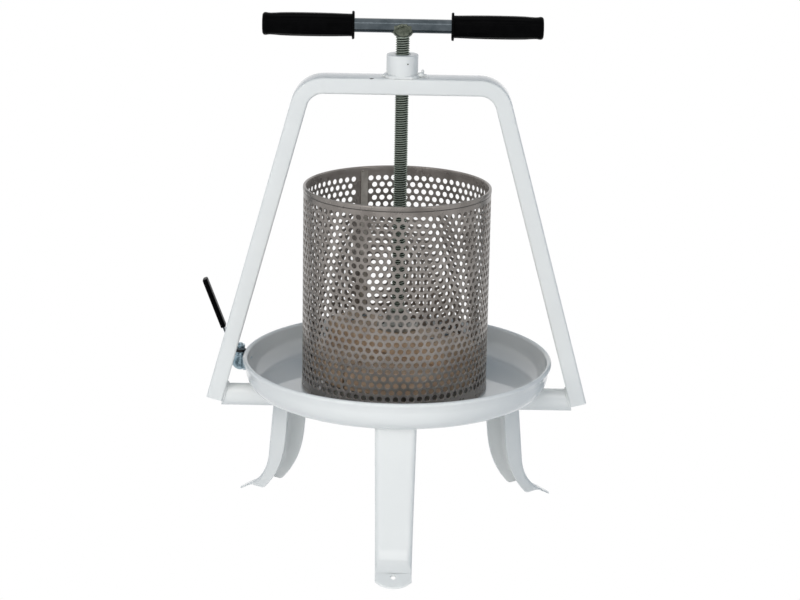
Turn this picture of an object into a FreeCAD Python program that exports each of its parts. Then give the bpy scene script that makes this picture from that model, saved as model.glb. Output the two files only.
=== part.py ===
# Fruit press with a perforated basket, a tray on three pressed legs, a bent bow and a screw with a T handle.
# Origin: on the floor, on the axis of the screw. +Z up, front towards -Y. Millimetres.
import FreeCAD, Part
import math
import os
import Sketcher
from FreeCAD import Placement, Rotation, Vector

doc = FreeCAD.newDocument("FruitPress")
sheet = doc.addObject("Spreadsheet::Sheet", "Sizes")


# A size with its number and the text that binds a property to the sheet
class Dim:
    def __init__(self, number, text):
        self.number = float(number)
        self.text = text

    def __add__(self, other):
        other = dim(other)
        return Dim(self.number + other.number, "(" + self.text + " + " + other.text + ")")

    def __radd__(self, other):
        return dim(other) + self

    def __sub__(self, other):
        other = dim(other)
        return Dim(self.number - other.number, "(" + self.text + " - " + other.text + ")")

    def __rsub__(self, other):
        return dim(other) - self

    def __mul__(self, other):
        other = dim(other)
        return Dim(self.number * other.number, "(" + self.text + " * " + other.text + ")")

    def __rmul__(self, other):
        return dim(other) * self

    def __truediv__(self, other):
        other = dim(other)
        return Dim(self.number / other.number, "(" + self.text + " / " + other.text + ")")

    def __neg__(self):
        return Dim(-self.number, "(0 - " + self.text + ")")


def dim(value):
    if isinstance(value, Dim):
        return value
    return Dim(value, "(%.6f)" % value if value < 0 else "%.6f" % value)


def sine(angle):
    angle = dim(angle)
    return Dim(math.sin(math.radians(angle.number)), "sin(" + angle.text + ")")


def cosine(angle):
    angle = dim(angle)
    return Dim(math.cos(math.radians(angle.number)), "cos(" + angle.text + ")")


def tangent(angle):
    angle = dim(angle)
    return Dim(math.tan(math.radians(angle.number)), "tan(" + angle.text + ")")


def root(value):
    value = dim(value)
    return Dim(math.sqrt(value.number), "sqrt(" + value.text + ")")


# Every size that can be set by itself
SIZES = [
    ("tray_outer_radius", 172.0, "outermost radius of the rolled rim"),
    ("tray_rim_bead", 2.75, "radius of the rolled rim"),
    ("tray_wall_inset", 3.4, "wall outside face in from the outermost radius"),
    ("tray_underside", 159.0, "height of the underside"),
    ("tray_depth", 35.0, "rim over the underside"),
    ("tray_sheet", 1.5, "sheet thickness"),
    ("tray_corner", 22.0, "outside radius between floor and wall"),
    ("leg_sheet", 2.0, "sheet thickness of the legs"),
    ("leg_top_step", 1.6, "outer face of the web at its top, past the flat of the tray"),
    ("leg_lean_angle", 6.44, "lean of the straight part, degrees"),
    ("leg_curve", 53.6, "radius of the curved part, outside face"),
    ("leg_foot_angle", 28.5, "slope of the foot under the horizontal, degrees"),
    ("leg_spread", 55.8, "tip of the foot out from the top of the web"),
    ("leg_width_top", 44.6, "width at the top"),
    ("leg_width_foot", 39.0, "width at the foot"),
    ("leg_corner", 4.2, "bevel along the pressed edges"),
    ("leg_section_depth", 46.0, "flanges before they are trimmed"),
    ("leg_depth", 20.7, "flanges at the top, behind the outer face"),
    ("leg_edge_drop", 83.0, "straight part of the free edges, from the top"),
    ("leg_edge_angle", 5.16, "lean of the free edges, degrees"),
    ("leg_edge_curve", 106.6, "radius of the free edges"),
    ("leg_toe_angle", 34.1, "end of the flanges on the curve, degrees from its lowest point"),
    ("leg_toe", 17.1, "lower edge of the flanges"),
    ("leg_toe_fall", 1.2, "lower edge of the flanges"),
    ("leg_cap_step", 1.0, "plate at the top behind the free edges"),
    ("foot_tip_sagitta", 8.0, "length of the rounded tip"),
    ("foot_hole_radius", 3.0, "bolt hole in each foot"),
    ("foot_hole_inset", 11.5, "bolt holes in from the tips of the feet"),
    ("beam_radius", 12.35, "outside radius of the tube under the tray"),
    ("beam_wall", 2.0, "wall of the tube under the tray"),
    ("beam_end_gap", 0.05, "tube between the legs of the bow"),
    ("bow_thickness", 18.0, "bow bar across the bend"),
    ("bow_width", 33.0, "bow bar from front to back"),
    ("bow_wall", 2.5, "wall of the bow bar"),
    ("bow_corner", 1.6, "bevelled corners of the bow bar"),
    ("bow_top", 510.0, "top of the crossbar"),
    ("bow_screw_gap", 1.0, "spindle in the hole of the crossbar"),
    ("bow_bend", 36.0, "outside radius of the bends"),
    ("bow_lean_angle", 15.4, "lean of the bow legs, degrees"),
    ("bow_rim_gap", 8.33, "bow legs off the rim of the tray"),
    ("bow_foot_drop", 11.5, "outer corner of the bow legs under the tray"),
    ("boss_radius", 17.2, "threaded boss on the crossbar"),
    ("boss_height", 24.5, "threaded boss on the crossbar"),
    ("boss_chamfer", 1.2, "edge of the boss"),
    ("boss_weld_leg", 3.6, "weld round the foot of the boss"),
    ("screw_radius", 7.5, "crests of the spindle"),
    ("screw_fit", 0.05, "radial clearance between spindle and boss"),
    ("screw_shoulder", 247.0, "height of the lower shoulder of the spindle"),
    ("screw_pin_radius", 6.0, "turned pin at the lower end"),
    ("screw_pin_length", 13.0, "turned pin at the lower end"),
    ("screw_groove_depth", 1.5, "groove round the pin"),
    ("screw_groove_width", 3.4, "groove round the pin"),
    ("screw_pin_clearance", 0.06, "pin in the pressure foot"),
    ("screw_pin_gap", 0.3, "end of the pin over the bottom of its bore"),
    ("screw_shoulder_gap", 0.1, "shoulder over the collar of the foot"),
    ("screw_bevel", 1.0, "edges of the spindle"),
    ("bar_axis", 564.8, "height of the handle bar"),
    ("bar_radius", 7.6, "handle bar"),
    ("bar_wall", 2.0, "handle bar"),
    ("bar_half_length", 147.0, "half of the handle bar"),
    ("grip_length", 99.0, "grip"),
    ("grip_end_wall", 4.0, "closed end of a grip past the bar"),
    ("grip_radius", 12.4, "grip"),
    ("grip_flange_radius", 15.2, "flange at the inner end"),
    ("grip_flange_thickness", 2.8, "flange at the inner end"),
    ("grip_end_round", 3.4, "bevelled outer end"),
    ("handle_weld_radius", 12.6, "weld between spindle and bar"),
    ("handle_weld_height", 8.5, "weld between spindle and bar"),
    ("handle_weld_drop", 2.7, "weld under the bar"),
    ("handle_weld_toe", 1.0, "weld at its lower edge"),
    ("basket_radius", 102.8, "outside of the perforated wall"),
    ("basket_sheet", 1.2, "perforated sheet"),
    ("basket_top", 389.4, "top of the upper rim"),
    ("basket_hem_height", 5.0, "rolled hems at both ends"),
    ("basket_hem_thickness", 3.4, "rolled hems at both ends"),
    ("basket_hem_step", 0.5, "hems stand out past the wall"),
    ("basket_hem_bevel", 1.0, "bevelled edges of the hems"),
    ("basket_shift", -3.0, "basket off the axis of the screw, along x"),
    ("basket_seat_gap", 0.2, "basket over the tray floor"),
    ("seam_width", 14.0, "lap seam of the basket"),
    ("seam_thickness", 1.0, "lap seam of the basket"),
    ("seam_gap", 0.2, "lap seam inside the wall"),
    ("seam_angle", 114.5, "direction of the seam, degrees"),
    ("grid_pairs", 12, "columns of openings, in opposite pairs"),
    ("grid_rows", 6, "openings in a column"),
    ("grid_border", 7.5, "plain sheet between the openings and the hems"),
    ("grid_bar", 9.54, "sheet between two openings of a column"),
    ("grid_width", 6.0, "width of an opening"),
    ("plate_radius", 94.0, "wooden press plate"),
    ("plate_thickness", 25.0, "wooden press plate"),
    ("plate_underside", 178.0, "height of its underside"),
    ("plate_gap", 3.0, "gap between its two halves"),
    ("wood_edge", 1.5, "broken edges of the wood"),
    ("block_length", 164.0, "wooden beam on the plate"),
    ("block_width", 46.0, "wooden beam on the plate"),
    ("block_height", 25.0, "wooden beam on the plate"),
    ("block_angle", -38.0, "direction of the beam, degrees"),
    ("foot_radius", 23.0, "steel pressure foot"),
    ("foot_plate", 5.0, "plate of the pressure foot"),
    ("foot_collar_radius", 13.0, "collar of the pressure foot"),
    ("foot_pin_radius", 1.5, "cross pins in the collar"),
    ("tap_angle", 170.1, "direction of the tap, degrees"),
    ("tap_rim_gap", 0.9, "seal under the rolled rim"),
    ("tap_tail_radius", 6.0, "tail through the tray wall"),
    ("tap_tail_clearance", 0.2, "tail in the hole of the tray and in the seal"),
    ("tap_tail_depth", 3.0, "inner end of the tail, in from the face of the wall"),
    ("tap_bore", 4.0, "water way"),
    ("tap_seal_radius", 11.6, "rubber seal on the tray wall"),
    ("tap_hex", 19.0, "across flats"),
    ("tap_hex_length", 5.5, "hexagon next to the washer"),
    ("tap_ball_radius", 10.0, "round housing"),
    ("tap_ball_offset", 11.1, "centre of the housing out from the tray wall"),
    ("tap_waist_radius", 5.5, "waist between the housing and the outlet"),
    ("tap_outlet_radius", 6.5, "outlet stub"),
    ("tap_outlet_bevel", 0.8, "edge of the outlet stub"),
    ("tap_outlet_offset", 20.8, "end of the outlet from the centre of the housing"),
    ("tap_outlet_length", 9.5, "plain length of the outlet"),
    ("tap_stem_radius", 3.0, "stem"),
    ("tap_stem_clearance", 0.05, "stem in the neck and the gland"),
    ("tap_stem_tail", 4.0, "stem past the nut and into the water way"),
    ("tap_stem_bevel", 0.6, "end of the stem"),
    ("tap_neck_radius", 6.2, "neck under the gland"),
    ("tap_seal_thickness", 2.5, "rubber seal"),
    ("tap_seal_gap", 0.1, "seal off the tray wall"),
    ("tap_neck_height", 11.6, "top of the neck over the axis of the tap"),
    ("tap_gland_height", 2.6, "gland ring"),
    ("lever_thickness", 2.0, "steel strip"),
    ("lever_gap", 0.1, "strip over the gland"),
    ("lever_width", 11.0, "steel strip"),
    ("lever_root", 5.0, "strip past the stem"),
    ("lever_flat", 6.5, "flat of the strip from the stem to its bend"),
    ("lever_bend", 3.0, "inside radius of its bend"),
    ("lever_angle", 69.2, "slope of the lever, degrees"),
    ("lever_length", 81.2, "sloping length"),
    ("sleeve_length", 59.0, "black sleeve"),
    ("sleeve_thickness", 5.8, "black sleeve"),
    ("sleeve_width", 14.5, "black sleeve"),
    ("sleeve_bevel", 1.4, "black sleeve"),
    ("sleeve_overhang", 1.8, "sleeve past the end of the strip"),
    ("stem_nut_height", 3.0, "nut on the stem"),
    ("stem_nut_hex", 10.0, "across flats"),
]


class Names:
    pass


z = Names()
for number, (alias, value, note) in enumerate(SIZES, start=1):
    sheet.set("A%d" % number, alias)
    sheet.set("B%d" % number, "%.6g" % value)
    sheet.set("C%d" % number, note)
    sheet.setAlias("B%d" % number, alias)
    setattr(z, alias, Dim(value, "Sizes." + alias))
doc.recompute()


def new_body(label):
    body = doc.addObject("PartDesign::Body", label)
    body.Label = label
    return body


def plane_of(body, role):
    return [f for f in body.Origin.OriginFeatures if f.Role == role][0]


def bind(target, path, value):
    value = dim(value)
    if "Sizes." in value.text:
        target.setExpression(path, value.text)


# A sketch on one of the planes of its body, moved and turned by its attachment offset
def new_sketch(body, name, role, shift=None, turn=None):
    sketch = body.newObject("Sketcher::SketchObject", name)
    sketch.AttachmentSupport = (plane_of(body, role), [""])
    sketch.MapMode = "FlatFace"
    place(sketch, "AttachmentOffset", shift, turn)
    return sketch


def place(target, name, shift=None, turn=None):
    shift = [dim(s) for s in (shift or (0, 0, 0))]
    axis, angle = turn or ((0, 0, 1), 0)
    angle = dim(angle)
    setattr(target, name, Placement(Vector(*[s.number for s in shift]), Rotation(Vector(*axis), angle.number)))
    for letter, value in zip("xyz", shift):
        bind(target, name + ".Base." + letter, value)
    if turn:
        bind(target, name + ".Rotation.Angle", angle)


# Closed outline of lines and arcs. A corner is (x, y); an arc ends at (x, y, radius, side),
# with side 1 for an arc that turns left and -1 for one that turns right.
def outline(sketch, corners):
    points = [(dim(c[0]), dim(c[1])) for c in corners]
    count = len(points)
    ends = []
    for i in range(count):
        nxt = (i + 1) % count
        a = Vector(points[i][0].number, points[i][1].number, 0)
        b = Vector(points[nxt][0].number, points[nxt][1].number, 0)
        c = corners[nxt]
        if len(c) == 2:
            geo = sketch.addGeometry(Part.LineSegment(a, b), False)
            ends.append((geo, 1, 2, None))
        else:
            radius, side = dim(c[2]), c[3]
            mid = (a + b) * 0.5
            half = (b - a).Length * 0.5
            away = Vector(-(b - a).y, (b - a).x, 0).normalize() * side
            centre = mid + away * math.sqrt(max(radius.number ** 2 - half ** 2, 0))
            start = math.atan2((a - centre).y, (a - centre).x)
            stop = math.atan2((b - centre).y, (b - centre).x)
            circle = Part.Circle(centre, Vector(0, 0, 1), radius.number)
            if side > 0:
                geo = sketch.addGeometry(Part.ArcOfCircle(circle, start, stop), False)
                ends.append((geo, 1, 2, radius))
            else:
                geo = sketch.addGeometry(Part.ArcOfCircle(circle, stop, start), False)
                ends.append((geo, 2, 1, radius))
    for i in range(count):
        geo, first, last, radius = ends[i]
        other, other_first, other_last, unused = ends[(i + 1) % count]
        sketch.addConstraint(Sketcher.Constraint("Coincident", geo, last, other, other_first))
    for i in range(count):
        geo, first, last, radius = ends[i]
        px, py = points[i]
        fix_point(sketch, geo, first, px, py)
        if radius is not None:
            number = sketch.addConstraint(Sketcher.Constraint("Radius", geo, radius.number))
            bind(sketch, "Constraints[%d]" % number, radius)


def fix_point(sketch, geo, end, px, py):
    for value, kind, axis in ((px, "DistanceX", -2), (py, "DistanceY", -1)):
        if value.number == 0:
            sketch.addConstraint(Sketcher.Constraint("PointOnObject", geo, end, axis))
        else:
            number = sketch.addConstraint(Sketcher.Constraint(kind, -1, 1, geo, end, value.number))
            bind(sketch, "Constraints[%d]" % number, value)


def round_hole(sketch, px, py, radius):
    px, py, radius = dim(px), dim(py), dim(radius)
    circle = Part.Circle(Vector(px.number, py.number, 0), Vector(0, 0, 1), radius.number)
    geo = sketch.addGeometry(circle, False)
    fix_point(sketch, geo, 3, px, py)
    number = sketch.addConstraint(Sketcher.Constraint("Radius", geo, radius.number))
    bind(sketch, "Constraints[%d]" % number, radius)


# Regular hexagon, two flats level with the sketch's x axis
def hexagon(sketch, px, py, flats):
    px, py, flats = dim(px), dim(py), dim(flats)
    reach = flats / (2 * cosine(30))
    corners = []
    for k in range(6):
        corners.append((px + reach * cosine(60 * k), py + reach * sine(60 * k)))
    outline(sketch, corners)


def pad(body, sketch, length, both=True, name="Pad", back=False):
    feature = body.newObject("PartDesign::Pad", name)
    feature.Profile = sketch
    feature.Length = dim(length).number
    bind(feature, "Length", length)
    if both:
        feature.SideType = "Symmetric"
    feature.Reversed = back
    body.Tip = feature
    return feature


def pocket(body, sketch, length=None, name="Pocket", both=True, back=False):
    feature = body.newObject("PartDesign::Pocket", name)
    feature.Profile = sketch
    if length is None:
        feature.Type = "ThroughAll"
    else:
        feature.Length = dim(length).number
        bind(feature, "Length", length)
    if both:
        feature.SideType = "Symmetric"
    feature.Reversed = back
    body.Tip = feature
    return feature


def revolve(body, sketch, name="Revolution", cut=False):
    kind = "PartDesign::Groove" if cut else "PartDesign::Revolution"
    feature = body.newObject(kind, name)
    feature.Profile = sketch
    feature.ReferenceAxis = (sketch, ["V_Axis"])
    feature.Angle = 360.0
    body.Tip = feature
    return feature


# A piece turned round its own upright axis
def turned(label, corners):
    body = new_body(label)
    sketch = new_sketch(body, label + "_profile", "XZ_Plane")
    outline(sketch, corners)
    revolve(body, sketch, label + "_turned")
    return body


def edges_where(feature, test):
    names = []
    for number, edge in enumerate(feature.Shape.Edges, start=1):
        if test(edge):
            names.append("Edge%d" % number)
    return names


def chamfer(body, feature, test, size, name):
    doc.recompute()
    names = edges_where(feature, test)
    if not names:
        raise RuntimeError("no edge for " + name)
    cut = body.newObject("PartDesign::Chamfer", name)
    cut.Base = (feature, names)
    cut.Size = dim(size).number
    bind(cut, "Size", size)
    body.Tip = cut
    return cut


# Section of a bowl corner in three straight steps, from the floor to the wall
def bowl_corner(wall, low, radius):
    corners = []
    for step in range(4):
        turn = 30 * step
        corners.append((wall - radius + radius * sine(turn), low + radius - radius * cosine(turn)))
    return corners


def rim_top():
    return z.tray_underside + z.tray_depth


# Tray: a deep drawn bowl with a flat floor and a rolled rim
def make_tray():
    wall_out = z.tray_outer_radius - z.tray_wall_inset
    wall_in = wall_out - z.tray_sheet
    low = z.tray_underside
    bead = z.tray_rim_bead
    bead_x = z.tray_outer_radius - bead
    bead_y = rim_top() - bead
    side = bead * tangent(22.5)
    body = new_body("tray")
    profile = new_sketch(body, "tray_profile", "XZ_Plane")
    corners = [(0, low)]
    corners.extend(bowl_corner(wall_out, low, z.tray_corner))
    corners.extend([
        (wall_out, bead_y - bead),
        (bead_x + side, bead_y - bead),
        (bead_x + bead, bead_y - side),
        (bead_x + bead, bead_y + side),
        (bead_x + side, bead_y + bead),
        (wall_in, bead_y + bead),
    ])
    inside = bowl_corner(wall_in, low + z.tray_sheet, z.tray_corner - z.tray_sheet)
    corners.extend(reversed(inside))
    corners.append((0, low + z.tray_sheet))
    outline(profile, corners)
    revolve(body, profile, "tray_bowl")
    # hole for the tap, along the direction of the tap
    hole = new_sketch(body, "tray_tap_hole", "YZ_Plane", (0, 0, 0), ((0, 1, 0), z.tap_angle - 180))
    round_hole(hole, 0, tap_axis(), z.tap_tail_radius + z.tap_tail_clearance)
    cut_side(body, hole, z.tray_outer_radius, "tray_tap_opening", Vector(-1, 0, 0))
    return body


# Pocket on one side of its sketch: the side is set by where the centre of mass moves away from
def cut_side(body, sketch, length, name, side):
    doc.recompute()
    before = body.Tip.Shape.CenterOfGravity
    feature = pocket(body, sketch, length, name, both=False)
    doc.recompute()
    if (feature.Shape.CenterOfGravity - before).dot(side) > 0:
        feature.Reversed = True
        doc.recompute()
    return feature


# Leg: a channel pressed from sheet, curved out to a sloping foot with a bolt hole.
# It is drawn along +X and turned into place.
def channel(sketch, width):
    half = width / 2
    deep = z.leg_section_depth
    sheet_t = z.leg_sheet
    bevel = z.leg_corner
    small = bevel + sheet_t * tangent(22.5)
    outline(sketch, [
        (0, half - bevel),
        (-bevel, half),
        (-deep, half),
        (-deep, half - sheet_t),
        (-small, half - sheet_t),
        (-sheet_t, half - small),
        (-sheet_t, -half + small),
        (-small, -half + sheet_t),
        (-deep, -half + sheet_t),
        (-deep, -half),
        (-bevel, -half),
        (0, -half + bevel),
    ])


def leg_top():
    return z.tray_outer_radius - z.tray_wall_inset - z.tray_corner + z.leg_top_step


def leg_tip():
    return leg_top() + z.leg_spread


def make_leg(label, angle):
    lean, slope, curve, sheet_t = z.leg_lean_angle, z.leg_foot_angle, z.leg_curve, z.leg_sheet
    top = z.tray_underside
    top_x = leg_top()
    tip_x = leg_tip()
    # height of the upper end of the curve, with the tip of the foot on the floor
    fall = (curve + sheet_t) * cosine(slope) - curve * sine(lean)
    reach = z.leg_spread - top * tangent(lean) - curve * cosine(lean)
    reach = reach + (curve + sheet_t) * sine(slope)
    knee_y = (fall + reach * tangent(slope)) / (1 - tangent(lean) * tangent(slope))
    knee_x = top_x + (top - knee_y) * tangent(lean)
    centre_x = knee_x + curve * cosine(lean)
    centre_y = knee_y + curve * sine(lean)
    foot_x = centre_x - curve * sine(slope)
    foot_y = centre_y - curve * cosine(slope)
    body = new_body(label)
    # path of the outer face of the web
    path = new_sketch(body, label + "_path", "XZ_Plane")
    corners = [(top_x, top), (knee_x, knee_y), (foot_x, foot_y)]
    points = [Vector(px.number, py.number, 0) for px, py in corners]
    line = path.addGeometry(Part.LineSegment(points[0], points[1]), False)
    centre = Vector(centre_x.number, centre_y.number, 0)
    circle = Part.Circle(centre, Vector(0, 0, 1), curve.number)
    start = math.atan2((points[1] - centre).y, (points[1] - centre).x)
    stop = math.atan2((points[2] - centre).y, (points[2] - centre).x)
    arc = path.addGeometry(Part.ArcOfCircle(circle, start, stop), False)
    path.addConstraint(Sketcher.Constraint("Coincident", line, 2, arc, 1))
    fix_point(path, line, 1, *corners[0])
    fix_point(path, line, 2, *corners[1])
    fix_point(path, arc, 2, *corners[2])
    number = path.addConstraint(Sketcher.Constraint("Radius", arc, curve.number))
    bind(path, "Constraints[%d]" % number, curve)
    upper = new_sketch(body, label + "_upper", "XY_Plane", (top_x, 0, top), ((0, 1, 0), -lean))
    channel(upper, z.leg_width_top)
    lower = new_sketch(body, label + "_lower", "XY_Plane", (foot_x, 0, foot_y), ((0, 1, 0), slope - 90))
    channel(lower, z.leg_width_foot)
    pipe = body.newObject("PartDesign::AdditivePipe", label + "_channel")
    pipe.Profile = upper
    pipe.Spine = path
    pipe.Sections = [(lower, [""])]
    pipe.Transformation = "Multisection"
    body.Tip = pipe
    # free edges of the flanges
    deep = z.leg_section_depth
    edge_top = top_x - z.leg_depth
    bend_x = edge_top + z.leg_edge_drop * tangent(z.leg_edge_angle)
    under = curve + sheet_t
    fold_x = centre_x - under * sine(z.leg_toe_angle)
    fold = centre_y - under * cosine(z.leg_toe_angle)
    trim = new_sketch(body, label + "_trim", "XZ_Plane")
    outline(trim, [
        (edge_top - deep, top + deep),
        (edge_top - deep, -deep),
        (foot_x + deep, -deep),
        (foot_x + deep, foot_y - deep * tangent(slope)),
        (foot_x - sheet_t * sine(slope), foot_y - sheet_t * cosine(slope)),
        (fold_x, fold, under, -1),
        (fold_x - z.leg_toe, fold - z.leg_toe_fall),
        (bend_x, top - z.leg_edge_drop, z.leg_edge_curve, -1),
        (edge_top, top),
        (edge_top, top + deep),
    ])
    pocket(body, trim, z.leg_width_top * 3, label + "_free_edges")
    # plate under the tray and sloping plate of the foot
    cap = new_sketch(body, label + "_cap", "XZ_Plane")
    cap_end = top_x - z.leg_corner
    outline(cap, [
        (edge_top + z.leg_cap_step, top - sheet_t),
        (cap_end, top - sheet_t),
        (cap_end, top),
        (edge_top + z.leg_cap_step, top),
    ])
    pad(body, cap, z.leg_width_top - sheet_t, name=label + "_cap_plate")
    shoe = new_sketch(body, label + "_shoe", "XZ_Plane")
    outline(shoe, [
        (foot_x - sheet_t * sine(slope), foot_y - sheet_t * cosine(slope)),
        (tip_x, 0),
        (tip_x + sheet_t * sine(slope), sheet_t * cosine(slope)),
        (foot_x, foot_y),
    ])
    pad(body, shoe, z.leg_width_foot, name=label + "_shoe_plate")
    half = z.leg_width_foot / 2
    round_r = (half * half + z.foot_tip_sagitta * z.foot_tip_sagitta) / (z.foot_tip_sagitta * 2)
    tip = new_sketch(body, label + "_tip", "XY_Plane")
    start = tip_x + sheet_t * sine(slope) - z.foot_tip_sagitta
    beyond = z.foot_tip_sagitta * 2
    outline(tip, [
        (start, -half - beyond),
        (start + beyond, -half - beyond),
        (start + beyond, half + beyond),
        (start, half + beyond),
        (start, half),
        (start, -half, round_r, -1),
    ])
    pocket(body, tip, None, label + "_round_tip")
    hole = new_sketch(body, label + "_hole", "XY_Plane")
    round_hole(hole, tip_x - z.foot_hole_inset, 0, z.foot_hole_radius)
    pocket(body, hole, None, label + "_bolt_hole")
    place(body, "Placement", (0, 0, 0), ((0, 0, 1), angle))
    return body


# Beam under the tray: a round tube between the legs of the bow
def bow_foot_height():
    return z.tray_underside - z.bow_foot_drop


def bow_foot_reach():
    lean = z.bow_lean_angle
    rise = rim_top() - bow_foot_height() + z.bow_thickness * sine(lean)
    return z.tray_outer_radius + z.bow_rim_gap + z.bow_thickness * cosine(lean) + rise * tangent(lean)


def bow_inner_x(height):
    return z.tray_outer_radius + z.bow_rim_gap - (height - rim_top()) * tangent(z.bow_lean_angle)


def make_beam():
    body = new_body("tray_beam")
    ring = new_sketch(body, "tray_beam_section", "YZ_Plane")
    axis = z.tray_underside - z.beam_radius
    round_hole(ring, 0, axis, z.beam_radius)
    round_hole(ring, 0, axis, z.beam_radius - z.beam_wall)
    pad(body, ring, (bow_inner_x(z.tray_underside) - z.beam_end_gap) * 2, name="tray_beam_tube")
    return body


# Bow: one rectangular tube bent into a flat arch that carries the boss
def arch_corners(near, far, drop):
    lean = z.bow_lean_angle
    half_turn = tangent(45 - lean / 2)

    def side(depth, extra):
        low_x = bow_foot_reach() - depth * cosine(lean) + extra * sine(lean)
        low_y = bow_foot_height() - depth * sine(lean) - extra * cosine(lean)
        up = (z.bow_top - depth - low_y) / cosine(lean)
        peak_x = low_x - up * sine(lean)
        bend = z.bow_bend - depth
        back = bend * half_turn
        return low_x, low_y, peak_x + back * sine(lean), z.bow_top - depth - back * cosine(lean), peak_x - back, bend

    ox, oy, oex, oey, osx, orad = side(near, drop)
    ix, iy, iex, iey, isx, irad = side(far, drop)
    top_o = z.bow_top - near
    top_i = z.bow_top - far
    return [
        (ox, oy),
        (oex, oey),
        (osx, top_o, orad, 1),
        (-osx, top_o),
        (-oex, oey, orad, 1),
        (-ox, oy),
        (-ix, iy),
        (-iex, iey),
        (-isx, top_i, irad, -1),
        (isx, top_i),
        (iex, iey, irad, -1),
        (ix, iy),
    ]


def make_bow():
    body = new_body("bow")
    solid = new_sketch(body, "bow_outline", "XZ_Plane")
    outline(solid, arch_corners(dim(0), z.bow_thickness, dim(0)))
    bar = pad(body, solid, z.bow_width, name="bow_bar")
    half = z.bow_width.number / 2

    def long_edge(edge):
        mid = edge.valueAt((edge.FirstParameter + edge.LastParameter) / 2)
        return abs(abs(mid.y) - half) < 0.01 and mid.z > bow_foot_height().number + 0.1

    chamfer(body, bar, long_edge, z.bow_corner, "bow_bevelled_edges")
    space = new_sketch(body, "bow_space", "XZ_Plane")
    outline(space, arch_corners(z.bow_wall, z.bow_thickness - z.bow_wall, z.bow_wall * 2))
    pocket(body, space, z.bow_width - z.bow_wall * 2, "bow_hollow")
    hole = new_sketch(body, "bow_screw_hole", "XY_Plane")
    round_hole(hole, 0, 0, z.screw_radius + z.bow_screw_gap)
    pocket(body, hole, None, "bow_screw_opening")
    return body


# Boss: the threaded nut on the crossbar, with the weld round its foot
def make_boss():
    bore = z.screw_radius + z.screw_fit
    low = z.bow_top
    top = low + z.boss_height
    return turned("screw_boss", [
        (bore, low),
        (z.boss_radius + z.boss_weld_leg, low),
        (z.boss_radius, low + z.boss_weld_leg),
        (z.boss_radius, top - z.boss_chamfer),
        (z.boss_radius - z.boss_chamfer, top),
        (bore, top),
    ])


# Basket: a bottomless perforated wall with a rolled hem at each end and a lap seam
def basket_heights():
    low = z.tray_underside + z.tray_sheet + z.basket_seat_gap
    return low, low + z.basket_hem_height, z.basket_top - z.basket_hem_height, z.basket_top


def make_basket_wall():
    low, hem_low, hem_high, top = basket_heights()
    body = turned("basket_wall", [
        (z.basket_radius - z.basket_sheet, hem_low),
        (z.basket_radius, hem_low),
        (z.basket_radius, hem_high),
        (z.basket_radius - z.basket_sheet, hem_high),
    ])
    # one column of openings through both sides next to the lap seam, repeated round the axis
    pitch = (hem_high - hem_low - z.grid_border * 2 + z.grid_bar) / z.grid_rows
    half = z.grid_width / 2
    column = new_sketch(body, "basket_column", "YZ_Plane")
    for row in range(int(z.grid_rows.number)):
        sill = hem_low + z.grid_border + pitch * row
        head = sill + pitch - z.grid_bar
        outline(column, [(-half, sill), (half, sill), (half, head), (-half, head)])
    openings = pocket(body, column, z.basket_radius * 3, "basket_openings")
    round_about = body.newObject("PartDesign::PolarPattern", "basket_grid")
    round_about.Originals = [openings]
    round_about.Axis = (column, ["V_Axis"])
    round_about.Mode = "Spacing"
    round_about.Offset = (dim(180) / z.grid_pairs).number
    bind(round_about, "Offset", dim(180) / z.grid_pairs)
    round_about.Occurrences = int(z.grid_pairs.number)
    bind(round_about, "Occurrences", z.grid_pairs)
    body.Tip = round_about
    place(body, "Placement", (z.basket_shift, 0, 0), ((0, 0, 1), z.seam_angle + dim(90) / z.grid_pairs))
    return body


def make_hem(label, upwards):
    low, hem_low, hem_high, top = basket_heights()
    outer = z.basket_radius + z.basket_hem_step
    inner = outer - z.basket_hem_thickness
    bevel = z.basket_hem_bevel
    if upwards:
        corners = [
            (inner, hem_high),
            (outer, hem_high),
            (outer, top - bevel),
            (outer - bevel, top),
            (inner, top),
        ]
    else:
        corners = [
            (outer, hem_low),
            (inner, hem_low),
            (inner, low),
            (outer - bevel, low),
            (outer, low + bevel),
        ]
    body = turned(label, corners)
    place(body, "Placement", (z.basket_shift, 0, 0))
    return body


def make_seam():
    low, hem_low, hem_high, top = basket_heights()
    inner = z.basket_radius - z.basket_sheet - z.seam_gap
    body = new_body("basket_seam")
    plan = new_sketch(body, "seam_plan", "XY_Plane", (0, 0, hem_low))
    half = z.seam_width / 2
    small = inner - z.seam_thickness
    outline(plan, [
        (root(inner * inner - half * half), -half),
        (root(inner * inner - half * half), half, inner, 1),
        (root(small * small - half * half), half),
        (root(small * small - half * half), -half, small, -1),
    ])
    pad(body, plan, hem_high - hem_low, both=False, name="seam_strip")
    place(body, "Placement", (z.basket_shift, 0, 0), ((0, 0, 1), z.seam_angle))
    return body


# Press head: two half round boards, a beam across them and a steel foot for the screw
def make_plate(label, turn):
    body = new_body(label)
    plan = new_sketch(body, label + "_plan", "XY_Plane", (0, 0, z.plate_underside))
    start = z.plate_gap / 2
    reach = root(z.plate_radius * z.plate_radius - start * start)
    outline(plan, [
        (start, -reach),
        (start, reach, z.plate_radius, 1),
    ])
    board = pad(body, plan, z.plate_thickness, both=False, name=label + "_board")
    low = z.plate_underside.number
    high = low + z.plate_thickness.number
    chamfer(body, board, lambda e: flat_edge(e, low, high), z.wood_edge, label + "_edges")
    place(body, "Placement", (0, 0, 0), ((0, 0, 1), z.block_angle + turn))
    return body


def flat_edge(edge, low, high):
    box = edge.BoundBox
    return box.ZLength < 0.01 and (abs(box.ZMin - low) < 0.01 or abs(box.ZMin - high) < 0.01)


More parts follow.
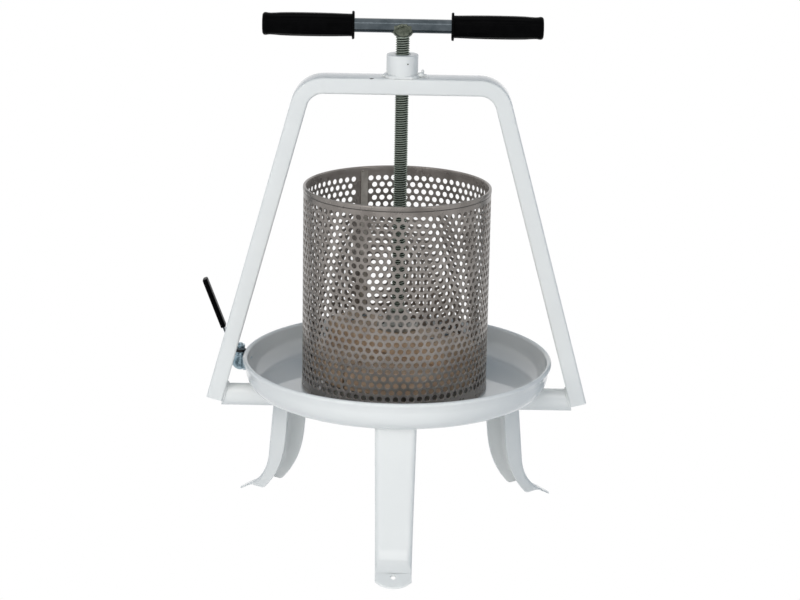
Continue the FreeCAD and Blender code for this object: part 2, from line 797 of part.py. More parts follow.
def make_block():
    low = z.plate_underside + z.plate_thickness
    body = new_body("press_beam")
    plan = new_sketch(body, "press_beam_plan", "XY_Plane", (0, 0, low))
    half_x = z.block_length / 2
    half_y = z.block_width / 2
    outline(plan, [(-half_x, -half_y), (half_x, -half_y), (half_x, half_y), (-half_x, half_y)])
    bar = pad(body, plan, z.block_height, both=False, name="press_beam_bar")
    high = (low + z.block_height).number
    chamfer(body, bar, lambda e: flat_edge(e, high, high), z.wood_edge, "press_beam_edges")
    place(body, "Placement", (0, 0, 0), ((0, 0, 1), z.block_angle))
    return body


def foot_base():
    return z.plate_underside + z.plate_thickness + z.block_height


def pin_middle():
    return z.screw_shoulder - z.screw_pin_length / 2


def make_foot():
    low = foot_base()
    bore = z.screw_pin_radius + z.screw_pin_clearance
    floor = z.screw_shoulder - z.screw_pin_length - z.screw_pin_gap
    top = z.screw_shoulder - z.screw_shoulder_gap
    body = turned("pressure_foot", [
        (0, low),
        (z.foot_radius, low),
        (z.foot_radius, low + z.foot_plate),
        (z.foot_collar_radius, low + z.foot_plate),
        (z.foot_collar_radius, top),
        (bore, top),
        (bore, floor),
        (0, floor),
    ])
    holes = new_sketch(body, "foot_pin_holes", "XZ_Plane")
    for way in (1, -1):
        round_hole(holes, pin_offset() * way, pin_middle(), z.foot_pin_radius)
    pocket(body, holes, z.foot_collar_radius * 3, "foot_cross_holes")
    place(body, "Placement", (0, 0, 0), ((0, 0, 1), z.block_angle))
    return body


def pin_offset():
    return z.screw_pin_radius - z.screw_groove_depth + z.foot_pin_radius + z.screw_shoulder_gap


def make_foot_pins():
    parts = []
    for number, way in enumerate((1, -1)):
        pin = doc.addObject("Part::Cylinder", "foot_pin_%d" % number)
        bind(pin, "Radius", z.foot_pin_radius)
        bind(pin, "Height", z.foot_collar_radius * 1.6)
        place(pin, "Placement", (pin_offset() * way, z.foot_collar_radius * 0.8, pin_middle()), ((1, 0, 0), 90))
        parts.append(pin)
    both = doc.addObject("Part::Compound", "foot_cross_pins")
    both.Links = parts
    place(both, "Placement", (0, 0, 0), ((0, 0, 1), z.block_angle))
    return both


# Spindle: the screw, the handle bar welded across its top and two grips
def bar_cutter(name):
    tool = doc.addObject("Part::Cylinder", name)
    bind(tool, "Radius", z.bar_radius)
    bind(tool, "Height", z.bar_half_length * 2)
    place(tool, "Placement", (-z.bar_half_length, 0, z.bar_axis), ((0, 1, 0), 90))
    return tool


def make_screw():
    shoulder = z.screw_shoulder
    end = shoulder - z.screw_pin_length
    groove_low = pin_middle() - z.screw_groove_width / 2
    groove_high = pin_middle() + z.screw_groove_width / 2
    pin = z.screw_pin_radius
    neck = pin - z.screw_groove_depth
    rod = turned("screw_rod", [
        (0, end),
        (pin - z.screw_bevel, end),
        (pin, end + z.screw_bevel),
        (pin, groove_low),
        (neck, groove_low),
        (neck, groove_high),
        (pin, groove_high),
        (pin, shoulder),
        (z.screw_radius - z.screw_bevel, shoulder),
        (z.screw_radius, shoulder + z.screw_bevel),
        (z.screw_radius, z.bar_axis),
        (0, z.bar_axis),
    ])
    screw = doc.addObject("Part::Cut", "screw")
    screw.Base = rod
    screw.Tool = bar_cutter("screw_saddle")
    return screw


def make_handle_weld():
    low = z.bar_axis - z.bar_radius - z.handle_weld_drop
    high = low + z.handle_weld_height
    ring = turned("weld_ring", [
        (z.screw_radius, low),
        (z.screw_radius + z.handle_weld_toe, low),
        (z.handle_weld_radius, high),
        (z.screw_radius, high),
    ])
    weld = doc.addObject("Part::Cut", "handle_weld")
    weld.Base = ring
    weld.Tool = bar_cutter("weld_saddle")
    return weld


def make_bar():
    body = new_body("handle_bar")
    ring = new_sketch(body, "handle_bar_section", "YZ_Plane")
    round_hole(ring, 0, z.bar_axis, z.bar_radius)
    round_hole(ring, 0, z.bar_axis, z.bar_radius - z.bar_wall)
    pad(body, ring, z.bar_half_length * 2, name="handle_bar_tube")
    return body


def make_grip(label, turn):
    end = z.bar_half_length + z.grip_end_wall
    start = end - z.grip_length
    round_r = z.grip_end_round
    flange = start + z.grip_flange_thickness
    body = turned(label, [
        (z.bar_radius, start),
        (z.grip_flange_radius, start),
        (z.grip_flange_radius, flange),
        (z.grip_radius, flange),
        (z.grip_radius, end - round_r),
        (z.grip_radius - round_r, end),
        (0, end),
        (0, z.bar_half_length),
        (z.bar_radius, z.bar_half_length),
    ])
    place(body, "Placement", (0, 0, z.bar_axis), ((0, 1, 0), turn))
    return body


# Tap: a small ball valve through the wall of the tray. Its pieces are drawn about +Z
# and laid down along the direction of the tap.
def lay_down(body):
    direction = Rotation(Vector(0, 0, 1), z.tap_angle.number)
    level = Rotation(Vector(0, 1, 0), 90)
    body.Placement = Placement(Vector(0, 0, tap_axis().number), direction.multiply(level))


def tap_axis():
    return rim_top() - z.tray_rim_bead * 2 - z.tap_seal_radius - z.tap_rim_gap


def tap_wall():
    return z.tray_outer_radius - z.tray_wall_inset


def tap_reach():
    return tap_wall() + z.tap_ball_offset


def make_seal():
    start = tap_wall() + z.tap_seal_gap
    bore = z.tap_tail_radius + z.tap_tail_clearance
    end = start + z.tap_seal_thickness
    body = turned("tap_seal", [
        (bore, start),
        (z.tap_seal_radius, start),
        (z.tap_seal_radius, end),
        (bore, end),
    ])
    lay_down(body)
    return body


def make_tap_body():
    face = tap_wall() + z.tap_seal_gap + z.tap_seal_thickness
    ball = z.tap_ball_radius
    reach = tap_reach()
    out = z.tap_outlet_radius
    waist = z.tap_waist_radius
    tail = z.tap_tail_radius
    end = reach + z.tap_outlet_offset
    start = tap_wall() - z.tap_tail_depth
    neck_in = face + z.tap_hex_length
    meet_in = root(ball * ball - (reach - neck_in) * (reach - neck_in))
    meet_out = root(ball * ball - waist * waist)
    stub = end - z.tap_outlet_bevel - z.tap_outlet_length
    body = new_body("tap_body")
    profile = new_sketch(body, "tap_profile", "XZ_Plane")
    bore = z.tap_bore
    outline(profile, [
        (bore, start),
        (tail, start),
        (tail, neck_in),
        (meet_in, neck_in),
        (ball, reach - ball * tangent(15)),
        (ball, reach + ball * tangent(15)),
        (waist, reach + meet_out),
        (waist, stub),
        (out, stub),
        (out, end - z.tap_outlet_bevel),
        (out - z.tap_outlet_bevel, end),
        (bore, end),
    ])
    revolve(body, profile, "tap_turned")
    hexa = new_sketch(body, "tap_hexagon", "XY_Plane", (0, 0, face))
    hexagon(hexa, 0, 0, z.tap_hex)
    round_hole(hexa, 0, 0, tail - z.tap_outlet_bevel)
    pad(body, hexa, z.tap_hex_length, both=False, name="tap_hex_pad")
    # neck for the stem; upright is -X of the piece before it is laid down
    neck = new_sketch(body, "tap_neck", "YZ_Plane", (0, 0, -z.tap_waist_radius))
    round_hole(neck, 0, reach, z.tap_neck_radius)
    rise = z.tap_neck_height - z.tap_waist_radius
    tower = pad(body, neck, rise, both=False, name="tap_tower")
    doc.recompute()
    if tower.Shape.BoundBox.XMin > -z.tap_neck_height.number + 0.1:
        tower.Reversed = True
    hole = new_sketch(body, "tap_stem_bore", "YZ_Plane")
    round_hole(hole, 0, reach, z.tap_stem_radius + z.tap_stem_clearance)
    cut_side(body, hole, z.tap_neck_height * 2, "tap_stem_opening", Vector(-1, 0, 0))
    lay_down(body)
    return body


def stem_x():
    return tap_reach() * cosine(z.tap_angle)


def stem_y():
    return tap_reach() * sine(z.tap_angle)


def neck_top():
    return tap_axis() + z.tap_neck_height


def ring_at_stem(label, inner, outer, low, high):
    body = turned(label, [(inner, low), (outer, low), (outer, high), (inner, high)])
    place(body, "Placement", (stem_x(), stem_y(), 0))
    return body


def lever_base():
    return neck_top() + z.tap_gland_height + z.lever_gap


def make_stem():
    top = lever_base() + z.lever_thickness + z.stem_nut_height + z.tap_stem_tail / 2
    low = tap_axis() + z.tap_bore - z.tap_stem_tail
    body = turned("tap_stem", [
        (0, low),
        (z.tap_stem_radius, low),
        (z.tap_stem_radius, top - z.tap_stem_bevel),
        (z.tap_stem_radius - z.tap_stem_bevel, top),
        (0, top),
    ])
    place(body, "Placement", (stem_x(), stem_y(), 0))
    return body


def make_stem_nut():
    body = new_body("tap_stem_nut")
    plan = new_sketch(body, "stem_nut_plan", "XY_Plane", (0, 0, lever_base() + z.lever_thickness))
    hexagon(plan, 0, 0, z.stem_nut_hex)
    round_hole(plan, 0, 0, z.tap_stem_radius)
    pad(body, plan, z.stem_nut_height, both=False, name="stem_nut_pad")
    place(body, "Placement", (stem_x(), stem_y(), 0))
    return body


def lever_turn_points():
    slope = z.lever_angle
    centre_x = -z.lever_flat
    centre_y = lever_base() + z.lever_thickness + z.lever_bend
    return slope, centre_x, centre_y


def make_lever():
    slope, cx, cy = lever_turn_points()
    base = lever_base()
    thick = z.lever_thickness
    inner = z.lever_bend
    outer = inner + thick
    long = z.lever_length
    body = new_body("tap_lever")
    side = new_sketch(body, "lever_side", "XZ_Plane")
    outline(side, [
        (z.lever_root, base),
        (z.lever_root, base + thick),
        (cx, base + thick),
        (cx - inner * sine(slope), cy - inner * cosine(slope), inner, -1),
        (cx - inner * sine(slope) - long * cosine(slope), cy - inner * cosine(slope) + long * sine(slope)),
        (cx - outer * sine(slope) - long * cosine(slope), cy - outer * cosine(slope) + long * sine(slope)),
        (cx - outer * sine(slope), cy - outer * cosine(slope)),
        (cx, base, outer, 1),
    ])
    pad(body, side, z.lever_width, name="lever_strip")
    hole = new_sketch(body, "lever_hole", "XY_Plane")
    round_hole(hole, 0, 0, z.tap_stem_radius)
    pocket(body, hole, None, "lever_stem_hole")
    place(body, "Placement", (stem_x(), stem_y(), 0))
    return body


def make_sleeve():
    slope, cx, cy = lever_turn_points()
    middle = z.lever_bend + z.lever_thickness / 2
    start = z.lever_length - z.sleeve_length + z.sleeve_overhang
    end = z.lever_length + z.sleeve_overhang
    half_t = z.sleeve_thickness / 2
    half_w = z.sleeve_width / 2
    body = new_body("tap_lever_sleeve")
    plan = new_sketch(body, "sleeve_plan", "XY_Plane", (0, 0, start))
    outline(plan, [(-half_t, -half_w), (half_t, -half_w), (half_t, half_w), (-half_t, half_w)])
    bar = pad(body, plan, end - start, both=False, name="sleeve_bar")
    lift = end.number - start.number

    def long_edge(edge):
        return abs(edge.BoundBox.ZLength - lift) < 0.01

    chamfer(body, bar, long_edge, z.sleeve_bevel, "sleeve_edges")
    slot = new_sketch(body, "sleeve_slot", "XY_Plane", (0, 0, start))
    half_s = z.lever_thickness / 2
    half_v = z.lever_width / 2
    outline(slot, [(-half_s, -half_v), (half_s, -half_v), (half_s, half_v), (-half_s, half_v)])
    cut = pocket(body, slot, z.sleeve_length - z.sleeve_overhang, "sleeve_hollow", both=False)
    doc.recompute()
    if cut.Shape.Volume > bar.Shape.Volume * 0.9:
        cut.Reversed = True
    px = stem_x() + cx - middle * sine(slope)
    pz = cy - middle * cosine(slope)
    place(body, "Placement", (px, stem_y(), pz), ((0, 1, 0), slope - 90))
    return body


nodes = [
    make_tray(),
    make_leg("leg_front", -90),
    make_leg("leg_rear_right", 30),
    make_leg("leg_rear_left", 150),
    make_beam(),
    make_bow(),
    make_boss(),
    make_basket_wall(),
    make_hem("basket_rim_top", True),
    make_hem("basket_rim_bottom", False),
    make_seam(),
    make_plate("press_plate_right", 0),
    make_plate("press_plate_left", 180),
    make_block(),
    make_foot(),
    make_foot_pins(),
    make_screw(),
    make_handle_weld(),
    make_bar(),
    make_grip("grip_right", 90),
    make_grip("grip_left", -90),
    make_tap_body(),
    make_seal(),
    ring_at_stem("tap_gland", z.tap_stem_radius + z.tap_stem_clearance, z.tap_neck_radius, neck_top(),
                 neck_top() + z.tap_gland_height),
    make_stem(),
    make_stem_nut(),
    make_lever(),
    make_sleeve(),
]

doc.recompute()
for item in doc.Objects:
    if "Invalid" in item.State or "Error" in item.State:
        raise RuntimeError("not computed: " + item.Name + " " + str(item.State))
os.makedirs("parts", exist_ok=True)
total = 0
for item in nodes:
    shape = item.Shape
    if shape.isNull() or not shape.isValid():
        raise RuntimeError("shape of " + item.Label)
    shape.exportStep("parts/" + item.Label + ".step")
    facets = shape.tessellate(0.1)[1]
    total += len(facets)
    box = shape.BoundBox
    print("%-20s solids %d faces %4d facets %5d volume %9.0f  x %7.1f %7.1f  y %7.1f %7.1f  z %6.1f %6.1f" % (
        item.Label, len(shape.Solids), len(shape.Faces), len(facets), shape.Volume,
        box.XMin, box.XMax, box.YMin, box.YMax, box.ZMin, box.ZMax))
print("nodes", len(nodes), "facets", total)
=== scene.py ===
# %% [markdown]
# # Fruit press with a perforated basket
# A small fruit press stands on three pressed legs. Its tray catches the juice, its perforated basket
# holds the fruit, and a screw through a bent bow pushes a wooden plate down into the basket. The CAD
# model is loaded first, as a frame that is never moved. A finer mesh with the finish of the real piece
# then stands for each of its pieces and rides on the same body, so that it moves as the CAD piece would.
# %% The frame
import bmesh
import bpy
import math
from mathutils import Matrix, Vector, noise


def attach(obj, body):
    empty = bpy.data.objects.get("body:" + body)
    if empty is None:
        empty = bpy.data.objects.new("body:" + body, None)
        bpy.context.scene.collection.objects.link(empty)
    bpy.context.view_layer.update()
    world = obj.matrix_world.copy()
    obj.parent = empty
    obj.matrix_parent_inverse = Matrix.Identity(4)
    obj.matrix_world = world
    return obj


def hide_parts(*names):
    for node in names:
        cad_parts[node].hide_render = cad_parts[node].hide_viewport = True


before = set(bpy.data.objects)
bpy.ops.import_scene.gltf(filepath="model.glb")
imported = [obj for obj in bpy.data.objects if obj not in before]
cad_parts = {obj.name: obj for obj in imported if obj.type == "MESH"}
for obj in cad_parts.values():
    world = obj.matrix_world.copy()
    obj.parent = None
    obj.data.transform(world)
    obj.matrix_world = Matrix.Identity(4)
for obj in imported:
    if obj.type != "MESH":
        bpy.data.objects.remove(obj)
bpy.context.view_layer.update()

# %% [markdown]
# ## From a bmesh to an object
# All coordinates below are in millimetres, as on a workshop drawing: +Z up, the front towards -Y, and the
# axis of the screw at 0, 0. Blender works in metres here, so one function scales every mesh at the end.
# The same function merges doubled points, turns the faces outwards and keeps the sharp edges of pressed
# and turned metal crisp while it shades the rest smooth. Marking sharp edges by their angle does this
# without another modifier on each piece.
# %% From a bmesh to an object
MM = 0.001
PI = math.pi
MERGE = 0.0005


def to_object(name, bm, sharp=35.0):
    bmesh.ops.remove_doubles(bm, verts=bm.verts, dist=MERGE)
    bmesh.ops.recalc_face_normals(bm, faces=bm.faces)
    limit = math.radians(sharp)
    for face in bm.faces:
        face.smooth = True
    for edge in bm.edges:
        edge.smooth = not (len(edge.link_faces) == 2 and edge.calc_face_angle(0) > limit)
    bm.transform(Matrix.Scale(MM, 4))
    name = name.replace(" ", "_")
    mesh = bpy.data.meshes.new(name)
    bm.to_mesh(mesh)
    bm.free()
    obj = bpy.data.objects.new(name, mesh)
    bpy.context.scene.collection.objects.link(obj)
    return obj


def piece(obj, mat, body, slot, *nodes):
    obj.data.materials.append(mat)
    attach(obj, body)
    if nodes:
        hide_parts(*nodes)
    return obj


# %% [markdown]
# ## Turned pieces and broken edges
# Much of a press is round about one axis: the tray, the hems, the boss, the bar. Such a piece could be
# cut from a cylinder, but it is simpler to draw half of its section as radii and heights and to spin that
# once round. Machined and sawn edges are never quite sharp, and a narrow bevel on them catches the light
# as a real edge does.
# %% Turned pieces and broken edges
def arc_angles(start, stop, steps):
    return [math.radians(start + (stop - start) * i / steps) for i in range(steps + 1)]


def arc_points(across, height, radius, start, stop, steps):
    angles = arc_angles(start, stop, steps)
    return [(across + radius * math.cos(a), height + radius * math.sin(a)) for a in angles]


def lathe(name, profile, steps=96, closed=True, place=None, sharp=35.0):
    bm = bmesh.new()
    verts = [bm.verts.new((radius, 0, height)) for radius, height in profile]
    edges = [bm.edges.new(pair) for pair in zip(verts, verts[1:])]
    if closed:
        edges.append(bm.edges.new((verts[-1], verts[0])))
    bmesh.ops.spin(bm, geom=verts + edges, cent=(0, 0, 0), axis=(0, 0, 1), angle=2 * PI, steps=steps,
                   use_merge=True)
    if place:
        bm.transform(place)
    return to_object(name, bm, sharp)


def soften(bm, edges, width, steps=2):
    bmesh.ops.bevel(bm, geom=edges, offset=width, offset_type="OFFSET", segments=steps, profile=0.5,
                    affect="EDGES", clamp_overlap=True, material=-1)


print("points on a quarter circle", len(arc_points(0, 0, 1, 0, 90, 12)))

# %% [markdown]
# ## Swept pieces
# Bent tube, pressed sheet and weld metal follow a line, and their section changes on the way. An
# extrusion keeps one section, so these pieces are laid out as rings of points, one for each station along
# the line, and the bridge operator joins each ring to the next. With loop the last ring also joins the
# first, and with ends both ends are closed. The operator pairs the points that lie nearest to each other,
# which is right as long as the rings are alike. Where they are not, join pairs them in their own order.
# %% Swept pieces
def round_steps(count):
    return [2 * PI * i / count for i in range(count)]


def join(bm, low, high):
    count = len(low)
    for i in range(count):
        j = (i + 1) % count
        bm.faces.new((low[i], low[j], high[j], high[i]))


def sweep(bm, rings, loop=False, ends=False):
    made = [[bm.verts.new(point) for point in ring] for ring in rings]
    edges = [[bm.edges.new(pair) for pair in zip(ring, ring[1:] + ring[:1])] for ring in made]
    pairs = list(zip(edges, edges[1:]))
    if loop:
        pairs.append((edges[-1], edges[0]))
    for low, high in pairs:
        bmesh.ops.bridge_loops(bm, edges=low + high)
    if ends:
        bm.faces.new(made[0])
        bm.faces.new(list(reversed(made[-1])))
    return made


def rounded_section(width, depth, radius, steps=4):
    points = []
    for side, front, start in ((1, 1, 0), (-1, 1, 90), (-1, -1, 180), (1, -1, 270)):
        across = side * (width / 2 - radius)
        along = front * (depth / 2 - radius)
        points += arc_points(across, along, radius, start, start + 90, steps)
    return points


print("points round a section", len(rounded_section(18, 33, 2.6)))

# %% [markdown]
# ## Weld metal
# The welds of the press are uneven: the beads swell and shrink a little along their length, and drops of
# metal stick beside them. A bead is a thin tube along a path, and noise and a slow wave change its
# thickness. A drop is a small ball that noise pushes out of round. Both read the noise at the piece's own
# place, so that no two are alike and each run gives the same ones.
# %% Weld metal
BEAD_ROUGH = 0.3
BEAD_TIP = 0.45
DROP_ROUGH = 0.25


def bead(name, path, radius, closed, steps=8):
    bm = bmesh.new()
    count = len(path)
    rings = []
    for i, point in enumerate(path):
        point = Vector(point)
        before = Vector(path[(i - 1) % count if closed else max(i - 1, 0)])
        after = Vector(path[(i + 1) % count if closed else min(i + 1, count - 1)])
        along = (after - before).normalized()
        side = along.orthogonal().normalized() if i == 0 else (side - along * side.dot(along)).normalized()
        up = along.cross(side)
        swell = 1 + BEAD_ROUGH * (0.6 * math.sin(i * 1.9) + noise.noise(point * 0.35))
        if not closed and i in (0, count - 1):
            swell *= BEAD_TIP
        spokes = [side * math.cos(a) + up * math.sin(a) for a in round_steps(steps)]
        rings.append([point + spoke * radius * swell for spoke in spokes])
    sweep(bm, rings, loop=closed, ends=not closed)
    return to_object(name, bm, 60)


def drop(name, centre, size):
    bm = bmesh.new()
    bmesh.ops.create_icosphere(bm, subdivisions=2, radius=1)
    for vert in bm.verts:
        vert.co *= 1 + DROP_ROUGH * noise.noise(vert.co * 1.7 + Vector(centre))
    bm.transform(Matrix.Translation(centre) @ Matrix.Diagonal(Vector(size)).to_4x4())
    return to_object(name, bm, 80)


print("a drop is out of round by up to", DROP_ROUGH)

# %% [markdown]
# ## Tools for the finishes
# Every finish is procedural: noise textures that read the piece's own coordinates, with no image. So a
# finish has the same grain on every piece, whatever the shape, and nothing has to be unwrapped. The
# helpers below make a material, a node with its values set, a noise and a ramp between two colours, and
# the last one adds a fine bump.
# %% Tools for the finishes
def new_material(name):
    mat = bpy.data.materials.new(name)
    mat.use_nodes = True
    nodes = mat.node_tree.nodes
    nodes.clear()
    out = nodes.new("ShaderNodeOutputMaterial")
    shader = nodes.new("ShaderNodeBsdfPrincipled")
    mat.node_tree.links.new(shader.outputs["BSDF"], out.inputs["Surface"])
    return mat, nodes, mat.node_tree.links, shader


def add(nodes, kind, **values):
    node = nodes.new(kind)
    for key, value in values.items():
        if hasattr(node, key):
            setattr(node, key, value)
        else:
            node.inputs[key.replace("_", " ")].default_value = value
    return node


def noise_node(nodes, links, scale, detail=3.0, rough=0.5):
    coord = nodes.new("ShaderNodeTexCoord")
    texture = add(nodes, "ShaderNodeTexNoise", Scale=scale, Detail=detail, Roughness=rough)
    links.new(coord.outputs["Object"], texture.inputs["Vector"])
    return texture


def ramp(nodes, links, source, low, high, colour_a, colour_b):
    node = nodes.new("ShaderNodeValToRGB")
    first, second = node.color_ramp.elements
    first.position = low
    second.position = high
    first.color = (*colour_a, 1)
    second.color = (*colour_b, 1)
    links.new(source, node.inputs["Fac"])
    return node


def bump(nodes, links, source, shader, strength, distance):
    node = add(nodes, "ShaderNodeBump", Strength=strength, Distance=distance)
    links.new(source, node.inputs["Height"])
    links.new(node.outputs["Normal"], shader.inputs["Normal"])


print("finishes that came with the frame", len(bpy.data.materials))

# %% [markdown]
# ## White paint
# Tray, bow, boss, beam and legs have a glossy white paint with a faint green tint. It has a few chips and
# pores. A texture painted on an unwrapped mesh could hold them, but here each one is a place and three
# reaches in millimetres: where the distance from the place, stretched by the reaches and shaken by noise,
# is small, the colour is dark. A chip can so be moved by its numbers alone.
# %% White paint
CHIPS = [
    ((-32.5, -15.8, 510.3), (3.2, 2.0, 1.1)),
    ((6.0, -16.4, 526.0), (0.9, 2.0, 0.9)),
    ((-126.0, 63.0, 124.0), (2.0, 6.0, 1.4)),
]
CHIP_COLOUR = (0.03, 0.03, 0.03, 1)
CHIP_SHAKE = 0.9
CHIP_EDGE = 1.35


def chipped(nodes, links, coord, wobble, colour, centre, reach):
    gap = add(nodes, "ShaderNodeVectorMath", operation="DISTANCE")
    scale = add(nodes, "ShaderNodeVectorMath", operation="MULTIPLY")
    scale.inputs[1].default_value = [1 / (r * MM) for r in reach]
    shift = add(nodes, "ShaderNodeVectorMath", operation="SUBTRACT")
    shift.inputs[1].default_value = [c * MM for c in centre]
    links.new(coord.outputs["Object"], shift.inputs[0])
    links.new(shift.outputs["Vector"], scale.inputs[0])
    links.new(scale.outputs["Vector"], gap.inputs[0])
    shaken = add(nodes, "ShaderNodeMath", operation="MULTIPLY_ADD")
    shaken.inputs[1].default_value = CHIP_SHAKE
    links.new(wobble.outputs["Fac"], shaken.inputs[0])
    links.new(gap.outputs["Value"], shaken.inputs[2])
    inside = add(nodes, "ShaderNodeMath", operation="LESS_THAN")
    inside.inputs[1].default_value = CHIP_EDGE
    links.new(shaken.outputs["Value"], inside.inputs[0])
    # inputs 6 and 7 and output 2 of a Mix node are its colours
    mix = add(nodes, "ShaderNodeMix", data_type="RGBA")
    mix.inputs[7].default_value = CHIP_COLOUR
    links.new(inside.outputs["Value"], mix.inputs[0])
    links.new(colour, mix.inputs[6])
    return mix.outputs[2]


def paint_material():
    mat, nodes, links, shader = new_material("white paint")
    shader.inputs["Roughness"].default_value = 0.04
    shader.inputs["Specular IOR Level"].default_value = 0.5
    tone = noise_node(nodes, links, 9.0)
    base = ramp(nodes, links, tone.outputs["Fac"], 0.35, 0.7, (0.8, 0.814, 0.802), (0.83, 0.842, 0.83))
    coord = nodes.new("ShaderNodeTexCoord")
    wobble = noise_node(nodes, links, 700.0, 2.0)
    colour = base.outputs["Color"]
    for centre, reach in CHIPS:
        colour = chipped(nodes, links, coord, wobble, colour, centre, reach)
    links.new(colour, shader.inputs["Base Color"])
    peel = noise_node(nodes, links, 260.0, 2.0)
    bump(nodes, links, peel.outputs["Fac"], shader, 0.05, 0.0004)
    return mat


PAINT = paint_material()
print("paint with", len(CHIPS), "chips and pores")

# %% [markdown]
# ## Steel of the basket
# The basket is rolled from bare steel that has gone brown and dull. Its lap seam is painted lighter, which
# is a painted highlight on the lap's edge, and the slit under its upper hem gets a near-black finish, which
# is painted
# shade. All the metals share one recipe: one noise mixes a dark and a light tone and also makes the rougher
# patches, and a much finer one gives the grain. A metal value of about a half stands for a thin film of
# dirt, which hides part of the mirror.
# %% Steel of the basket
def metal_material(name, dark, light, rough, metal, scale, grain=0.15):
    mat, nodes, links, shader = new_material(name)
    shader.inputs["Metallic"].default_value = metal
    tone = noise_node(nodes, links, scale, 4.0, 0.6)
    base = ramp(nodes, links, tone.outputs["Fac"], 0.3, 0.7, dark, light)
    links.new(base.outputs["Color"], shader.inputs["Base Color"])
    spread = add(nodes, "ShaderNodeMapRange")
    spread.inputs["To Min"].default_value = rough * 0.8
    spread.inputs["To Max"].default_value = rough * 1.25
    links.new(tone.outputs["Fac"], spread.inputs["Value"])
    links.new(spread.outputs["Result"], shader.inputs["Roughness"])
    fine = noise_node(nodes, links, 900.0, 2.0, 0.6)
    bump(nodes, links, fine.outputs["Fac"], shader, grain, 0.0002)
    return mat


BASKET = metal_material("basket steel", (0.17, 0.152, 0.138), (0.32, 0.292, 0.27), 0.27, 0.55, 28.0)
# painted highlight: the lap seam's lighter tones stand for the light on its edge
SEAM = metal_material("seam steel", (0.3, 0.28, 0.25), (0.52, 0.49, 0.45), 0.3, 0.6, 60.0)
# painted shade: a near-black finish for the slit under the upper hem
GAP_SHADE = metal_material("painted gap shade", (0.02, 0.018, 0.016), (0.04, 0.036, 0.032), 0.5, 0.4, 60.0)
print("finishes", BASKET.name, SEAM.name, GAP_SHADE.name)

# %% [markdown]
# ## The threaded rod
# The roots of the thread are painted dark, which is painted shade in the hollows of the thread together with
# the grease that stays there, and the crests, which the nut rubs, are lighter. The rod stands on the axis of
# the object, so the distance of a point from that axis already says how high on the thread it lies. The
# shader works it out from the coordinates and turns it into the colour, so the finish and its painted shade
# always follow the turns.
# %% The threaded rod
# below this radius the roots turn dark: painted shade in the hollows, with grease
GREASE_AND_SHADE_R = 6.4
BRIGHT_R = 7.45


def thread_material():
    mat, nodes, links, shader = new_material("threaded rod")
    coord = nodes.new("ShaderNodeTexCoord")
    across = add(nodes, "ShaderNodeVectorMath", operation="MULTIPLY")
    across.inputs[1].default_value = (1, 1, 0)
    links.new(coord.outputs["Object"], across.inputs[0])
    radius = add(nodes, "ShaderNodeVectorMath", operation="LENGTH")
    links.new(across.outputs["Vector"], radius.inputs[0])
    height = add(nodes, "ShaderNodeMapRange")
    height.inputs["From Min"].default_value = GREASE_AND_SHADE_R * MM
    height.inputs["From Max"].default_value = BRIGHT_R * MM
    links.new(radius.outputs["Value"], height.inputs["Value"])
    tone = noise_node(nodes, links, 300.0)
    mixed = add(nodes, "ShaderNodeMath", operation="MULTIPLY_ADD")
    mixed.inputs[1].default_value = 0.5
    links.new(tone.outputs["Fac"], mixed.inputs[0])
    links.new(height.outputs["Result"], mixed.inputs[2])
    # painted shade: the roots get the dark colour, the crests that the nut rubs get the light one
    base = ramp(nodes, links, mixed.outputs["Value"], 0.35, 1.3, (0.012, 0.018, 0.012), (0.34, 0.38, 0.33))
    links.new(base.outputs["Color"], shader.inputs["Base Color"])
    shader.inputs["Metallic"].default_value = 0.6
    shader.inputs["Specular Tint"].default_value = (0.25, 0.3, 0.25, 1)
    shader.inputs["Roughness"].default_value = 0.2
    return mat


THREAD = thread_material()
print("bright from", BRIGHT_R, "mm, greasy below", GREASE_AND_SHADE_R, "mm")

# %% [markdown]
# ## Plated, welded and plain metal
# The handle bar and the tap's lever are zinc plated and dark, the bare welds are rough and blotched, the
# tap is nickel plated brass with a cool tone, and the pressure foot is plain steel. The recipe of the
# basket's steel serves again. Only the tones, the roughness, the size of the patches and, for the welds,
# a coarser grain differ.
# %% Plated, welded and plain metal
ZINC = metal_material("zinc plated", (0.055, 0.07, 0.08), (0.115, 0.135, 0.15), 0.16, 1.0, 70.0)
WELD = metal_material("weld", (0.05, 0.06, 0.045), (0.17, 0.185, 0.15), 0.2, 1.0, 300.0, grain=0.4)
NICKEL = metal_material("nickel plated", (0.2, 0.29, 0.34), (0.38, 0.48, 0.54), 0.3, 1.0, 90.0)
STEEL = metal_material("plain steel", (0.22, 0.23, 0.22), (0.46, 0.46, 0.44), 0.35, 1.0, 90.0)
print("finishes", ZINC.name, WELD.name, NICKEL.name, STEEL.name)

# %% [markdown]
# ## Beech wood
# The plate of the press head and the beam across it are beech. Its grain is a noise that is stretched
# along the boards. The head lies turned about the screw, so a Mapping node turns the pattern by the same
# angle back, and the grain runs along the beam.
# %% Beech wood
HEAD_TURN = -38.0


def wood_material():
    mat, nodes, links, shader = new_material("beech wood")
    coord = nodes.new("ShaderNodeTexCoord")
    mapping = nodes.new("ShaderNodeMapping")
    mapping.inputs["Rotation"].default_value = (0, 0, math.radians(-HEAD_TURN))
    mapping.inputs["Scale"].default_value = (6.0, 60.0, 60.0)
    links.new(coord.outputs["Object"], mapping.inputs["Vector"])
    grain = add(nodes, "ShaderNodeTexNoise", Scale=2.2, Detail=6.0, Roughness=0.6, Distortion=0.6)
    links.new(mapping.outputs["Vector"], grain.inputs["Vector"])
    base = ramp(nodes, links, grain.outputs["Fac"], 0.3, 0.72, (0.46, 0.32, 0.21), (0.68, 0.52, 0.38))
    links.new(base.outputs["Color"], shader.inputs["Base Color"])
    shader.inputs["Roughness"].default_value = 0.55
    bump(nodes, links, grain.outputs["Fac"], shader, 0.2, 0.0005)
    return mat


WOOD = wood_material()
print("grain turned by", -HEAD_TURN, "degrees")

